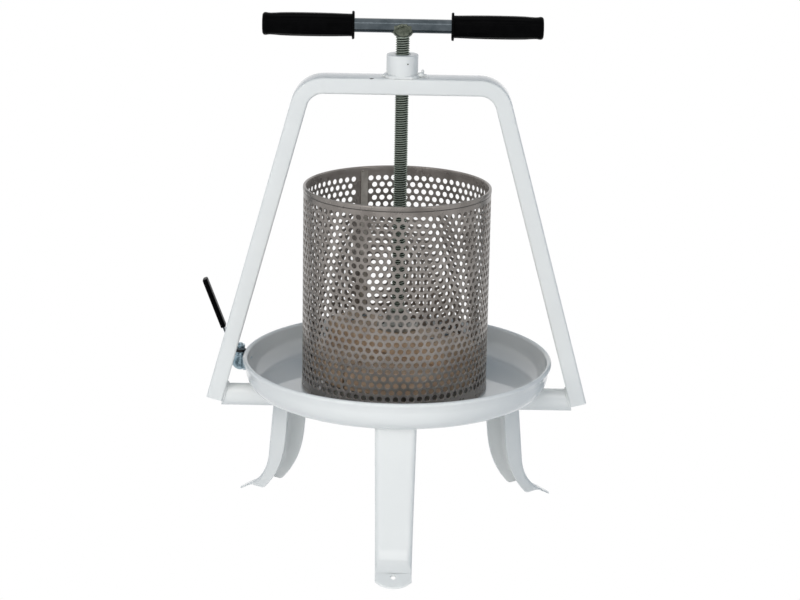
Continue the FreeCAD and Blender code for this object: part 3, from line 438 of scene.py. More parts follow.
# %% [markdown]
# ## Black vinyl and rubber
# The grips and the lever's sleeve are black vinyl, and the tap is sealed with black rubber. Neither is
# quite even, so a noise lifts the colour a little in places and gives a faint bump. The vinyl has very
# little shine of its own, because a strong one would turn its black into grey under wide lamps.
# %% Black vinyl and rubber
def plain_material(name, colour, rough, scale=60.0, grain=0.1, shine=0.5):
    mat, nodes, links, shader = new_material(name)
    tone = noise_node(nodes, links, scale)
    light = [min(1.0, c * 1.25 + 0.001) for c in colour]
    base = ramp(nodes, links, tone.outputs["Fac"], 0.3, 0.7, colour, light)
    links.new(base.outputs["Color"], shader.inputs["Base Color"])
    shader.inputs["Roughness"].default_value = rough
    shader.inputs["Specular IOR Level"].default_value = shine
    bump(nodes, links, tone.outputs["Fac"], shader, grain, 0.0003)
    return mat


VINYL = plain_material("black vinyl", (0.0008, 0.0008, 0.001), 0.26, scale=80.0, grain=0.05, shine=0.02)
RUBBER = plain_material("black rubber", (0.012, 0.012, 0.013), 0.55)
print("finishes", VINYL.name, RUBBER.name)

# %% [markdown]
# ## Tray
# The tray is a bowl drawn from 1.5 mm sheet: a flat floor, a round corner, an upright wall and a rim that
# is rolled outwards. One section spun about the axis of the screw gives the whole bowl. The section is
# drawn round both faces of the sheet, so that the bowl has its true thickness where its edge shows.
# %% Tray
TRAY_R = 172.0
TRAY_LOW = 159.0
TRAY_TOP = 194.0
TRAY_SHEET = 1.5
TRAY_CORNER = 22.0
TRAY_WALL = TRAY_R - 3.4
RIM_R = 2.75
FLARE_FROM = TRAY_TOP - 10
FLOOR_RINGS = (0, 60, 120)


def make_tray():
    corner = (TRAY_WALL - TRAY_CORNER, TRAY_LOW + TRAY_CORNER)
    profile = [(radius, TRAY_LOW) for radius in FLOOR_RINGS]
    profile += arc_points(*corner, TRAY_CORNER, -90, 0, 12)
    profile += [(TRAY_WALL, FLARE_FROM)]
    profile += arc_points(TRAY_R - RIM_R, TRAY_TOP - RIM_R, RIM_R, -28, 190, 16)
    profile += arc_points(*corner, TRAY_CORNER - TRAY_SHEET, 0, -90, 12)
    profile += [(radius, TRAY_LOW + TRAY_SHEET) for radius in reversed(FLOOR_RINGS)]
    return lathe("tray shell", profile, 144, closed=False)


tray = piece(make_tray(), PAINT, "frame", "painted_steel", "tray")
print("tray faces", len(tray.data.polygons))

# %% [markdown]
# ## Bow
# The bow is one rectangular tube, 18 by 33 mm, bent twice: its legs lean in as they rise and a flat
# crossbar joins them. A bevelled curve could make it, but it has no inner wall, and the cut lower ends of
# the real tube are open. So two rounded sections, one for the outer and one for the inner face, are swept
# along the same line, and a ring of faces at each end closes the wall between them.
# %% Bow
LEAN = math.radians(15.4)
BOW_T = 18.0
BOW_W = 33.0
BOW_WALL = 2.5
BOW_FOOT = (211.8, 147.5)
BOW_TOP = 510.0
BOW_BEND = 36.0
STRAIGHT_STEPS = 4
BEND_STEPS = 12


def bow_path():
    mid = BOW_T / 2
    foot_x = BOW_FOOT[0] - mid * math.cos(LEAN)
    foot_z = BOW_FOOT[1] - mid * math.sin(LEAN)
    top = BOW_TOP - mid
    rise = (top - foot_z) / math.cos(LEAN)
    peak_x = foot_x - rise * math.sin(LEAN)
    bend = BOW_BEND - mid
    back = bend * math.tan(math.radians(45) - LEAN / 2)
    half = []
    for i in range(STRAIGHT_STEPS + 1):
        t = i / STRAIGHT_STEPS
        x = foot_x + (peak_x + back * math.sin(LEAN) - foot_x) * t
        height = foot_z + (top - back * math.cos(LEAN) - foot_z) * t
        half.append((x, height, LEAN))
    for i in range(1, BEND_STEPS + 1):
        a = LEAN + (PI / 2 - LEAN) * i / BEND_STEPS
        half.append((peak_x - back + bend * math.cos(a), top - bend + bend * math.sin(a), a))
    return half + [(-x, height, PI - a) for x, height, a in reversed(half)]


def make_bow():
    bm = bmesh.new()
    outer = rounded_section(BOW_T, BOW_W, 2.6)
    inner = rounded_section(BOW_T - 2 * BOW_WALL, BOW_W - 2 * BOW_WALL, 1.0)
    skins = []
    for section in (outer, inner):
        rings = []
        for x, height, a in bow_path():
            outward = Vector((math.cos(a), 0, math.sin(a)))
            rings.append([Vector((x, v, height)) + outward * u for u, v in section])
        skins.append(sweep(bm, rings))
    for end in (0, -1):
        join(bm, skins[0][end], skins[1][end])
    return to_object("bow tube", bm, 40)


bow = piece(make_bow(), PAINT, "frame", "painted_steel", "bow")
print("bow faces", len(bow.data.polygons))

# %% [markdown]
# ## Boss
# A round threaded nut sits on the crossbar and carries the screw. It is a turned piece. A bead runs round
# its foot, flattened at the front and the back, where the crossbar ends, and five drops of metal lie
# beside it.
# %% Boss
BOSS_R = 17.2
BOSS_BORE = 7.62
BOSS_LOW = 510.2
BOSS_TOP = 534.5
BOSS_EDGE = 1.4
BOSS_WELD_R = 18.3
BOSS_WELD_Y = 15.6
BOSS_WELD_Z = 511.2
DROPS = [
    ((20.5, -6.0, 513.2), (3.6, 3.0, 2.6)),
    ((24.3, -4.0, 512.0), (2.2, 2.2, 2.0)),
    ((22.2, -2.0, 516.0), (1.6, 1.3, 2.4)),
    ((-20.5, -4.0, 511.6), (2.0, 2.0, 1.3)),
    ((27.5, -7.0, 510.8), (1.2, 1.2, 0.9)),
]


def make_boss():
    profile = [(BOSS_BORE, BOSS_LOW), (BOSS_R, BOSS_LOW), (BOSS_R, BOSS_TOP - 1.5)]
    profile += arc_points(BOSS_R - BOSS_EDGE, BOSS_TOP - BOSS_EDGE, BOSS_EDGE, 0, 90, 4)
    profile += [(9.2, BOSS_TOP), (8.2, BOSS_TOP - 0.9), (BOSS_BORE, BOSS_TOP - 1.5)]
    return lathe("boss", profile, 64)


def boss_weld_path():
    path = []
    for a in round_steps(64):
        y = min(max(BOSS_WELD_R * math.sin(a), -BOSS_WELD_Y), BOSS_WELD_Y)
        path.append((BOSS_WELD_R * math.cos(a), y, BOSS_WELD_Z))
    return path


piece(make_boss(), PAINT, "frame", "painted_steel", "screw_boss")
piece(bead("boss weld", boss_weld_path(), 2.1, True), PAINT, "frame", "painted_steel")
for number, (centre, size) in enumerate(DROPS):
    piece(drop("weld spatter %d" % number, centre, size), PAINT, "frame", "painted_steel")
print("drops beside the boss", len(DROPS))

# %% [markdown]
# ## Beam under the tray
# A round tube carries the tray and ties the legs of the bow together. Those legs lean, so the real tube's
# ends are cut on a slant to meet them. A cylinder cut by two planes would do. Here each point of an end
# ring is put straight on the inner face of the bow at its own height, which gives the slant without a
# cut, and the beads of weld at the ends follow the same face.
# %% Beam under the tray
BEAM_Z = 146.65
BEAM_R = 12.35
BEAM_BORE = 10.35
BEAM_EDGE = 0.45
BEAM_GAP = 0.05
BEAM_WELD_R = 12.6
BEAM_WELD_IN = 0.6


def beam_point(side, radius, inset, a):
    height = BEAM_Z + radius * math.sin(a)
    inner_x = BOW_FOOT[0] - BOW_T * math.cos(LEAN)
    inner_z = BOW_FOOT[1] - BOW_T * math.sin(LEAN)
    bow_x = inner_x - (height - inner_z) * math.tan(LEAN)
    return (side * (bow_x - inset), radius * math.cos(a), height)


def make_beam():
    bm = bmesh.new()
    end = [(BEAM_BORE, BEAM_GAP), (BEAM_R - BEAM_EDGE, BEAM_GAP), (BEAM_R, BEAM_EDGE)]
    rings = []
    for side, rims in ((-1, end), (1, reversed(end))):
        for radius, inset in rims:
            rings.append([beam_point(side, radius, inset, a) for a in round_steps(48)])
    sweep(bm, rings, loop=True)
    return to_object("beam tube", bm, 30)


beam = piece(make_beam(), PAINT, "frame", "painted_steel", "tray_beam")
for side in (1, -1):
    path = [beam_point(side, BEAM_WELD_R, BEAM_WELD_IN, a) for a in arc_angles(-20, 200, 24)]
    piece(bead("beam weld %d" % side, path, 1.7, False), PAINT, "frame", "painted_steel")
print("beam length in mm", round(beam.dimensions.x / MM, 1))

# %% [markdown]
# ## Legs: the lines seen from the side
# Each leg is a channel pressed from 2 mm sheet. Its web faces outwards, its two flanges face the axis,
# and below a wide bend it ends in a sloping foot. Seen from the side, two lines say all of this: the
# outer line of the web, which is straight and then an arc, and the free edge of the flanges, which comes
# nearer to the web on the way down. Both are drawn here along +X and worked out so that the foot's tip
# ends on the floor.
# %% Legs: the lines seen from the side
LEG_TOP = (148.2, 159.0)
LEG_LEAN = math.radians(6.44)
LEG_CURVE = 53.6
FOOT = math.radians(28.5)
LEG_TIP = 204.0
LEG_SHEET = 2.0
FLANGE_CURVE = 106.6


def knee_point():
    tilt = math.tan(LEG_LEAN)
    slope = math.tan(FOOT)
    bend = LEG_CURVE + LEG_SHEET
    fall = bend * math.cos(FOOT) - LEG_CURVE * math.sin(LEG_LEAN)
    reach = LEG_TIP - LEG_TOP[0] - LEG_TOP[1] * tilt - LEG_CURVE * math.cos(LEG_LEAN) + bend * math.sin(FOOT)
    height = (fall + reach * slope) / (1 - tilt * slope)
    return Vector((LEG_TOP[0] + (LEG_TOP[1] - height) * tilt, height))


def flange_line():
    top = Vector((126.6, 169.0))
    bend_start = Vector((135.0, 76.0))
    bend_stop = Vector((165.2, 10.8))
    chord = bend_stop - bend_start
    bulge = FLANGE_CURVE - math.sqrt(FLANGE_CURVE ** 2 - (chord.length / 2) ** 2)
    outward = Vector((chord.y, -chord.x)).normalized()
    line = [top, bend_start]
    for i in range(1, 12):
        t = i / 12
        line.append(bend_start + chord * t + outward * bulge * 4 * t * (1 - t))
    return line + [bend_stop, Vector((182.3, 12.0)), Vector((183.5, 11.0))]


KNEE = knee_point()
LEG_BEND = KNEE + Vector((math.cos(LEG_LEAN), math.sin(LEG_LEAN))) * LEG_CURVE
FLANGE_LINE = flange_line()
print("the bend of a leg starts", round(KNEE.y, 1), "mm above the floor")

# %% [markdown]
# ## Legs: the section
# At every station the channel is as deep as the way from the web to the free edge of the flanges. Where
# the depth is large, the corners have their full round of 6 mm. Towards the foot the flanges fade out, so
# the round gets smaller and only part of it is left. The section is drawn as one ring round the sheet:
# along the outer face from one flange to the other, and back along the inner face.
# %% Legs: the section
LEG_ROUND = 6.0
LEAST_ROUND = LEG_SHEET + 0.05
FADE = 8.0
PARALLEL = 1e-9
SLACK = 0.001


def flange_depth(point, inward):
    depths = []
    for start, stop in zip(FLANGE_LINE, FLANGE_LINE[1:]):
        along = stop - start
        cross = inward.x * along.y - inward.y * along.x
        if abs(cross) < PARALLEL:
            continue
        gap = start - point
        depth = (gap.x * along.y - gap.y * along.x) / cross
        share = (gap.x * inward.y - gap.y * inward.x) / cross
        if depth > LEG_SHEET and -SLACK <= share <= 1 + SLACK:
            depths.append(depth)
    return min(depths, default=LEG_SHEET)


def leg_section(width, depth):
    big = LEAST_ROUND + (LEG_ROUND - LEAST_ROUND) * min(1.0, max(0.0, (depth - LEG_SHEET) / FADE))
    small = big - LEG_SHEET
    middle = width / 2 - big
    full = depth >= big
    stop = PI / 2 if full else math.acos((big - depth) / big)
    inner_stop = PI / 2 if full else math.acos(min(1.0, (big - depth) / small))
    outer = [(width / 2 if full else middle + big * math.sin(stop), depth)]
    for i in range(7):
        a = stop * (1 - i / 6)
        outer.append((middle + big * math.sin(a), big - big * math.cos(a)))
    inner = []
    for i in range(6):
        a = inner_stop * i / 5
        inner.append((middle + small * math.sin(a), big - small * math.cos(a)))
    inner.append((width / 2 - LEG_SHEET if full else inner[-1][0], depth))
    other_side = [(-u, v) for u, v in reversed(outer)] + [(-u, v) for u, v in reversed(inner)]
    return outer + other_side + inner


print("points round a full section", len(leg_section(40.0, 20.0)))

# %% [markdown]
# ## Legs: the channel
# The sections are set on the outer line of the web and joined, so the two flanges, the web and the bend
# are one skin with the thickness of the sheet, as pressing makes them. The first ring is level, because
# it bears on the flat floor of the tray. The points that fall together where the flanges end are merged
# afterwards.
# %% Legs: the channel
LEG_WIDE = 44.6
LEG_NARROW = 39.0
LEG_LEVELS = (158.98, 157.0, 150.0, 130.0, 110.0, 90.0, 76.0, 64.0, KNEE.y + 1.0)
LEG_MERGE = 0.01


def leg_stations():
    stations = []
    for height in LEG_LEVELS:
        x = LEG_TOP[0] + (LEG_TOP[1] - height) * math.tan(LEG_LEAN)
        square = Vector((-math.cos(LEG_LEAN), -math.sin(LEG_LEAN)))
        stations.append((Vector((x, height)), square if stations else Vector((-1, 0))))
    for i in range(25):
        a = PI / 2 - LEG_LEAN + (FOOT - PI / 2 + LEG_LEAN) * i / 24
        inward = Vector((-math.sin(a), -math.cos(a)))
        stations.append((LEG_BEND + inward * LEG_CURVE, inward))
    return stations


def make_leg_shell(name, angle):
    bm = bmesh.new()
    stations = leg_stations()
    total = sum((after[0] - before[0]).length for before, after in zip(stations, stations[1:]))
    run = 0.0
    before = stations[0][0]
    rings = []
    for point, inward in stations:
        run += (point - before).length
        before = point
        width = LEG_WIDE + (LEG_NARROW - LEG_WIDE) * run / total
        section = leg_section(width, flange_depth(point, inward))
        rings.append([(point.x + inward.x * v, u, point.y + inward.y * v) for u, v in section])
    sweep(bm, rings)
    bmesh.ops.remove_doubles(bm, verts=bm.verts, dist=LEG_MERGE)
    bmesh.ops.dissolve_degenerate(bm, edges=bm.edges, dist=LEG_MERGE)
    top = [edge for edge in bm.edges if edge.is_boundary and edge.verts[0].co.z > LEG_TOP[1] - 1]
    bmesh.ops.holes_fill(bm, edges=top, sides=0)
    bm.transform(Matrix.Rotation(math.radians(angle), 4, "Z"))
    return to_object(name, bm, 30)


print("stations on a leg", len(leg_stations()))

# %% [markdown]
# ## Legs: the foot
# The foot is a flat tongue with a round tip and a hole for a bolt. A disc with a hole could be cut to
# this outline, but rays from the hole make a cleaner mesh: each ray finds how far the outline is, and
# rings along the rays form the wall of the hole, the upper face, the rounded edge and the underside. The
# rays through the corners of the outline are added, so that the corners stay sharp. Nothing goes below
# the floor.
# %% Legs: the foot
BOLT_AT = 192.5
BOLT_R = 3.0
FOOT_HALF = LEG_NARROW / 2
FOOT_SAG = 8.0
FOOT_START = LEG_BEND.x - LEG_CURVE * math.sin(FOOT)
FOOT_END = LEG_TIP + LEG_SHEET * math.sin(FOOT)
TIP_R = (FOOT_HALF ** 2 + FOOT_SAG ** 2) / (2 * FOOT_SAG)
FOOT_EDGE = ((0.0, 0.6), (0.25, 0.15), (0.5, 0.0), (0.85, 0.1), (1.0, 0.5))


def foot_rays():
    corners = [math.atan2(FOOT_HALF, x - BOLT_AT) for x in (FOOT_START, FOOT_END - FOOT_SAG)]
    rays = [a - PI for a in round_steps(56)] + corners + [-a for a in corners]
    return sorted(set(round(a, 6) for a in rays))


def foot_reach(a):
    dx = math.cos(a)
    dy = math.sin(a)
    reaches = []
    if dx < -PARALLEL:
        t = (FOOT_START - BOLT_AT) / dx
        if abs(dy * t) <= FOOT_HALF + SLACK:
            reaches.append(t)
    if abs(dy) > PARALLEL:
        t = FOOT_HALF / abs(dy)
        if FOOT_START - SLACK <= BOLT_AT + dx * t <= FOOT_END - FOOT_SAG + SLACK:
            reaches.append(t)
    centre = FOOT_END - TIP_R - BOLT_AT
    t = dx * centre + math.sqrt(max(TIP_R ** 2 - centre ** 2 + (dx * centre) ** 2, 0))
    if BOLT_AT + dx * t >= FOOT_END - FOOT_SAG - SLACK:
        reaches.append(t)
    return max(reaches, default=FOOT_HALF)


def foot_ring(rays, reaches, down):
    ring = []
    for a, reach in zip(rays, reaches):
        x = BOLT_AT + math.cos(a) * reach
        height = (FOOT_END - x) * math.tan(FOOT) + LEG_SHEET * math.cos(FOOT)
        ring.append((x, math.sin(a) * reach, max(0.0, height - LEG_SHEET / math.cos(FOOT) * down)))
    return ring


def make_leg_foot(name, angle):
    bm = bmesh.new()
    rays = foot_rays()
    hole = [BOLT_R] * len(rays)
    outline = [foot_reach(a) for a in rays]
    rings = [foot_ring(rays, hole, 1.0), foot_ring(rays, hole, 0.0)]
    for down, inset in FOOT_EDGE:
        rings.append(foot_ring(rays, [reach - inset for reach in outline], down))
    made = [[bm.verts.new(point) for point in ring] for ring in rings]
    for low, high in zip(made, made[1:] + made[:1]):
        join(bm, low, high)
    bm.transform(Matrix.Rotation(math.radians(angle), 4, "Z"))
    return to_object(name, bm, 30)


for node, angle in (("leg_front", -90), ("leg_rear_right", 30), ("leg_rear_left", 150)):
    shell = piece(make_leg_shell(node + " shell", angle), PAINT, "frame", "painted_steel", node)
    foot = piece(make_leg_foot(node + " foot", angle), PAINT, "frame", "painted_steel")
    print(node, "faces", len(shell.data.polygons) + len(foot.data.polygons))

# %% [markdown]
# ## Basket: the pattern of holes
# The wall of the basket is perforated sheet: 27 staggered rows of round holes of about 6 mm, with a plain
# strip where the sheet laps. Some 1,900 Boolean cuts would be slow and would leave long thin faces. So
# the wall is laid out like brickwork instead. Every other upright line starts a brick, each brick holds
# one hole, and the next row is shifted by half a brick. The lists of lines and levels below are all that
# the pattern needs.
# %% Basket: the pattern of holes
BASKET_X = -3.0
BASKET_R = 102.8
BASKET_T = 1.2
WALL_LOW = 165.7
WALL_TOP = 384.4
ROWS = 27
COLUMNS = 72
ROW_STEP = 7.66
ROW_TOP = 375.3
SEAM_AT = 113.2
SEAM_PITCHES = 2.42
STRIP_PARTS = 3
HALF_PITCH = 180.0 / (COLUMNS - 1 + SEAM_PITCHES)


def wall_angles():
    start = SEAM_AT + (SEAM_PITCHES - 1) * HALF_PITCH
    angles = [start + HALF_PITCH * k for k in range(2 * COLUMNS + 1)]
    strip = 360.0 - HALF_PITCH * 2 * COLUMNS
    return angles + [angles[-1] + strip * k / STRIP_PARTS for k in range(1, STRIP_PARTS)]


def wall_levels():
    levels = [ROW_TOP - ROW_STEP * (ROWS - 1 - row) - ROW_STEP / 2 for row in range(ROWS)]
    return [WALL_LOW] + levels + [ROW_TOP + ROW_STEP / 2, WALL_TOP]


def has_hole(row, k):
    shift = (ROWS - 1 - row) % 2
    return 0 <= row < ROWS and k >= shift and (k - shift) % 2 == 0 and k + 2 <= 2 * COLUMNS


print("holes", sum(has_hole(row, k) for row in range(ROWS) for k in range(2 * COLUMNS)))

# %% [markdown]
# ## Basket: the wall
# Each hole is a ring of 12 points in its brick, and five-cornered faces join it to the six points of the
# brick. Punching leaves a soft edge on the outside, so the outer skin has a second, smaller ring a little
# deeper in the sheet. The inner skin has plain rings. The rings of the two skins are joined through the
# sheet last, so light really passes through the holes and their edges show the thickness of the steel.
# %% Basket: the wall
HOLE_R = 3.02
HOLE_EDGE = 0.28


def wall_point(radius, angle, height):
    a = math.radians(angle)
    return (BASKET_X + radius * math.cos(a), radius * math.sin(a), height)


def hole_ring(bm, radius, angle, height, size, depth=0.0):
    ring = []
    for a in arc_angles(-150, 180, 11):
        aside = angle + math.degrees(size * math.cos(a) / radius)
        ring.append(bm.verts.new(wall_point(radius - depth, aside, height + size * math.sin(a))))
    return ring


def make_hole(bm, radius, angle, height, brick, outside):
    ring = hole_ring(bm, radius, angle, height, HOLE_R + (HOLE_EDGE if outside else 0))
    for i in range(6):
        bm.faces.new((brick[i], brick[(i + 1) % 6], ring[(2 * i + 2) % 12], ring[2 * i + 1], ring[2 * i]))
    if not outside:
        return ring
    deep = hole_ring(bm, radius, angle, height, HOLE_R, HOLE_EDGE)
    join(bm, ring, deep)
    return deep


def make_skin(bm, radius, outside):
    angles = wall_angles()
    levels = wall_levels()
    grid = [[bm.verts.new(wall_point(radius, angle, height)) for angle in angles] for height in levels]
    holes = []
    for row, (lower, upper) in enumerate(zip(grid, grid[1:]), -1):
        middle = (levels[row + 1] + levels[row + 2]) / 2
        k = 0
        while k < len(angles):
            if has_hole(row, k):
                brick = lower[k:k + 3] + upper[k:k + 3][::-1]
                holes.append(make_hole(bm, radius, angles[k] + HALF_PITCH, middle, brick, outside))
                k += 2
            else:
                n = (k + 1) % len(angles)
                bm.faces.new((lower[k], lower[n], upper[n], upper[k]))
                k += 1
    return grid, holes


def make_basket_wall():
    bm = bmesh.new()
    outer_grid, outer_holes = make_skin(bm, BASKET_R, True)
    inner_grid, inner_holes = make_skin(bm, BASKET_R - BASKET_T, False)
    for outer, inner in zip(outer_holes, inner_holes):
        join(bm, outer, inner)
    for end in (0, -1):
        join(bm, outer_grid[end], inner_grid[end])
    return to_object("perforated wall", bm, 40)


wall = piece(make_basket_wall(), BASKET, "basket", "perforated_steel", "basket_wall")
print("basket wall faces", len(wall.data.polygons))

# %% [markdown]
# ## Basket: hems and seam
# The sheet is folded over at the top and the bottom, and the fold is a round hem that stands a little
# proud. Under the upper hem there is a narrow slit, and its shade is painted: a thin ring of its own in a
# near-black finish. Turned rings are enough for all three. The lap seam is a strip inside the wall with a
# small spot of weld at its top, both in a lighter finish that paints a highlight on them. It is swept up the
# wall, because a turned ring would go all the way round.
# %% Basket: hems and seam
HEM_HIGH = 5.0
HEM_R = 1.7
HEM_PROUD = 0.5
HEM_EDGE = (0.2, 0.3)
SLIT_HIGH = 0.9
SEAM_SPAN = (-3.6, 1.0)
SEAM_GAP = 0.1
SEAM_SHEET = 0.9
SHIFT = Matrix.Translation((BASKET_X, 0, 0))


def hem_profile(low, high, up):
    outer = BASKET_R + HEM_PROUD
    inner = outer - 2 * HEM_R
    step, rise = HEM_EDGE
    if up:
        fold = arc_points(outer - HEM_R, high - HEM_R, HEM_R, 0, 180, 8)
        return [(inner, low), (outer - step, low), (outer, low + rise)] + fold + [(inner, low + rise)]
    fold = arc_points(inner + HEM_R, low + HEM_R, HEM_R, 180, 360, 8)
    return [(inner, high), (inner, low + HEM_R)] + fold + [(outer, high - rise), (outer - step, high)]


def make_seam():
    bm = bmesh.new()
    outer = BASKET_R - BASKET_T - SEAM_GAP
    start, stop = SEAM_SPAN
    span = [SEAM_AT + start + (stop - start) * i / 6 for i in range(7)]
    outline = [(outer, angle) for angle in span] + [(outer - SEAM_SHEET, angle) for angle in reversed(span)]
    rings = []
    for height in (WALL_LOW, (WALL_LOW + WALL_TOP) / 2, WALL_TOP):
        rings.append([wall_point(radius, angle, height) for radius, angle in outline])
    sweep(bm, rings, ends=True)
    return to_object("seam lap", bm, 40)


rim_top = lathe("upper hem", hem_profile(WALL_TOP, WALL_TOP + HEM_HIGH, True), 128, place=SHIFT)
piece(rim_top, BASKET, "basket", "perforated_steel", "basket_rim_top")
rim_low = lathe("lower hem", hem_profile(WALL_LOW - HEM_HIGH, WALL_LOW, False), 128, place=SHIFT)
piece(rim_low, BASKET, "basket", "perforated_steel", "basket_rim_bottom")
# painted shade: a thin near-black ring fills the slit under the upper hem
slit = [(BASKET_R - 0.3, WALL_TOP - SLIT_HIGH), (BASKET_R + 0.12, WALL_TOP - SLIT_HIGH)]
slit += [(radius, WALL_TOP) for radius, height in reversed(slit)]
piece(lathe("hem gap shade", slit, 128, place=SHIFT), GAP_SHADE, "basket", "perforated_steel")
# painted highlight: the lap seam and its weld spot get the lighter seam finish
piece(make_seam(), SEAM, "basket", "perforated_steel", "basket_seam")
spot = drop("seam spot", wall_point(101.0, SEAM_AT, 384.5), (1.4, 1.4, 1.6))
piece(spot, SEAM, "basket", "perforated_steel")
print("basket height in mm", WALL_TOP - WALL_LOW + 2 * HEM_HIGH)

# %% [markdown]
# ## Press head: plate and beam
# The plate that presses the fruit is a round board in two halves, which can be taken out past the screw,
# and a beam lies across both. Each half is drawn as one flat face, extruded to its thickness and
# bevelled, which is close to how a board is sawn and sanded. The beam starts as a cube. Through the holes
# of the basket the wood shows as a warm shade.
# %% Press head: plate and beam
HEAD_TURNED = Matrix.Rotation(math.radians(HEAD_TURN), 4, "Z")
PLATE_R = 94.0
PLATE_LOW = 178.0
PLATE_THICK = 25.0
HALF_GAP = 1.5
WOOD_EDGE = 1.4
CROSS_LONG = 164.0
CROSS_WIDE = 46.0
CROSS_LOW = 203.02
CROSS_TOP = 228.0


def half_board(name, way):
    bm = bmesh.new()
    cut = math.degrees(math.asin(HALF_GAP / PLATE_R))
    outline = [(PLATE_R * math.sin(a) * way, PLATE_R * math.cos(a)) for a in arc_angles(cut, 180 - cut, 48)]
    bottom = bm.faces.new([bm.verts.new((x, y, PLATE_LOW)) for x, y in outline])
    made = bmesh.ops.extrude_face_region(bm, geom=[bottom])
    raised = [part for part in made["geom"] if isinstance(part, bmesh.types.BMVert)]
    bmesh.ops.translate(bm, verts=raised, vec=(0, 0, PLATE_THICK))
    level = [edge for edge in bm.edges if abs(edge.verts[0].co.z - edge.verts[1].co.z) < 0.01]
    soften(bm, level, WOOD_EDGE)
    bm.transform(HEAD_TURNED)
    return to_object(name, bm, 30)


def make_cross_beam():
    bm = bmesh.new()
    bmesh.ops.create_cube(bm, size=1)
    middle = Matrix.Translation((0, 0, (CROSS_LOW + CROSS_TOP) / 2))
    bm.transform(middle @ Matrix.Diagonal((CROSS_LONG, CROSS_WIDE, CROSS_TOP - CROSS_LOW, 1)))
    soften(bm, bm.edges[:], WOOD_EDGE, 3)
    bm.transform(HEAD_TURNED)
    return to_object("wooden beam", bm)


piece(half_board("right board", 1), WOOD, "press_head", "beech_wood", "press_plate_right")
piece(half_board("left board", -1), WOOD, "press_head", "beech_wood", "press_plate_left")
piece(make_cross_beam(), WOOD, "press_head", "beech_wood", "press_beam")
print("plate across in mm", 2 * PLATE_R)

# %% [markdown]
# ## Press head: foot, pins and screws
# The end of the screw turns in a steel foot on the beam. Two pins through its collar lie in a groove of
# the screw, so the foot goes up and down with the screw and need not turn with it. The foot is a turned
# piece, the pins are plain cylinders from one operator, and eight low round screw heads hold the foot and
# the beam.
# %% Press head: foot, pins and screws
PIN_R = 1.5
PIN_LONG = 20.8
PIN_X = 6.1
PIN_Z = 240.5
FLANGE_TOP = 233.0
SCREW_CIRCLE = 17.8


def make_foot():
    profile = [(0, 228.02), (22.4, 228.02), (23, 228.6), (23, 232.2), (22.2, FLANGE_TOP)]
    profile += [(14.6, FLANGE_TOP), (13.4, 233.6), (13.0, 235.0), (13.0, 245.9), (12.0, 246.9)]
    profile += [(6.06, 246.9), (6.06, 233.7), (0, 233.7)]
    return lathe("pressure foot", profile, 64, closed=False)


def make_pins():
    bm = bmesh.new()
    for side in (1, -1):
        place = HEAD_TURNED @ Matrix.Translation((PIN_X * side, 0, PIN_Z)) @ Matrix.Rotation(PI / 2, 4, "X")
        bmesh.ops.create_cone(bm, cap_ends=True, segments=20, radius1=PIN_R, radius2=PIN_R, depth=PIN_LONG,
                              matrix=place)
    return to_object("cross pins", bm)


def screw_places():
    places = []
    for angle in (45, 135, 225, 315):
        a = math.radians(angle)
        places.append((SCREW_CIRCLE * math.cos(a), SCREW_CIRCLE * math.sin(a), FLANGE_TOP, 3.0))
    return places + [(x, y, CROSS_TOP, 4.2) for x in (-58, 58) for y in (-11, 11)]


piece(make_foot(), STEEL, "press_head", "zinc_steel", "pressure_foot")
piece(make_pins(), ZINC, "press_head", "zinc_steel", "foot_cross_pins")
for number, (x, y, height, radius) in enumerate(screw_places()):
    profile = [(0, -0.4), (radius, -0.4), (radius, 0.3), (radius * 0.8, 1.1), (radius * 0.4, 1.5), (0, 1.6)]
    place = HEAD_TURNED @ Matrix.Translation((x, y, height))
    head = lathe("screw head %d" % number, profile, 24, closed=False, place=place)
    piece(head, ZINC, "press_head", "zinc_steel")
print("screw heads", len(screw_places()))

# %% [markdown]
# ## Spindle: thread and core
# The screw has a right-hand thread of 2.5 mm pitch and 15 mm across. The spin operator can rise as it
# turns, but the rounding errors of some 3,400 small steps could pile up until the turns no longer meet.
# So each point of the helix is worked out here: four points of the profile climb by one pitch on each
# turn, and the end of every turn is joined to the start of the next. A turned core closes both ends and
# has the groove for the pins.
# %% Spindle: thread and core
SCREW_R = 7.5
ROOT_R = SCREW_R - 1.15
PITCH = 2.5
THREAD_LOW = 250.5
THREAD_TOP = 556.0
THREAD_SHAPE = ((0.0, SCREW_R), (0.16, SCREW_R), (0.5, ROOT_R), (0.66, ROOT_R))
THREAD_AROUND = 28


def make_thread():
    bm = bmesh.new()
    step = len(THREAD_SHAPE)
    total = int((THREAD_TOP - THREAD_LOW) / PITCH) * step
    rows = []
    for number in range(total + 1):
        share, radius = THREAD_SHAPE[number % step]
        base = THREAD_LOW + (number // step + share) * PITCH
        row = []
        for i, a in enumerate(round_steps(THREAD_AROUND)):
            point = (radius * math.cos(a), radius * math.sin(a), base + PITCH * i / THREAD_AROUND)
            row.append(bm.verts.new(point))
        rows.append(row)
    for number in range(total):
        low, high = rows[number:number + 2]
        for i in range(THREAD_AROUND - 1):
            bm.faces.new((low[i], low[i + 1], high[i + 1], high[i]))
        if number + step + 1 <= total:
            bm.faces.new((low[-1], rows[number + step][0], rows[number + step + 1][0], high[-1]))
    return to_object("spindle thread", bm, 25)


thread = piece(make_thread(), THREAD, "spindle", "zinc_steel", "screw")
core = [(0, 234.0), (5.0, 234.0), (6.0, 235.0), (6.0, 238.8)]
core += [(4.5, 238.8), (4.5, 242.2), (6.0, 242.2), (6.0, 247.0)]
core += [(6.5, 247.0), (7.4, 247.9), (7.4, 251.5), (6.3, 252.6)]
core += [(6.3, 552.0), (7.3, 553.2), (7.3, 558.0), (0, 558.0)]
piece(lathe("spindle core", core, 40, closed=False), THREAD, "spindle", "zinc_steel")
print("thread faces", len(thread.data.polygons))

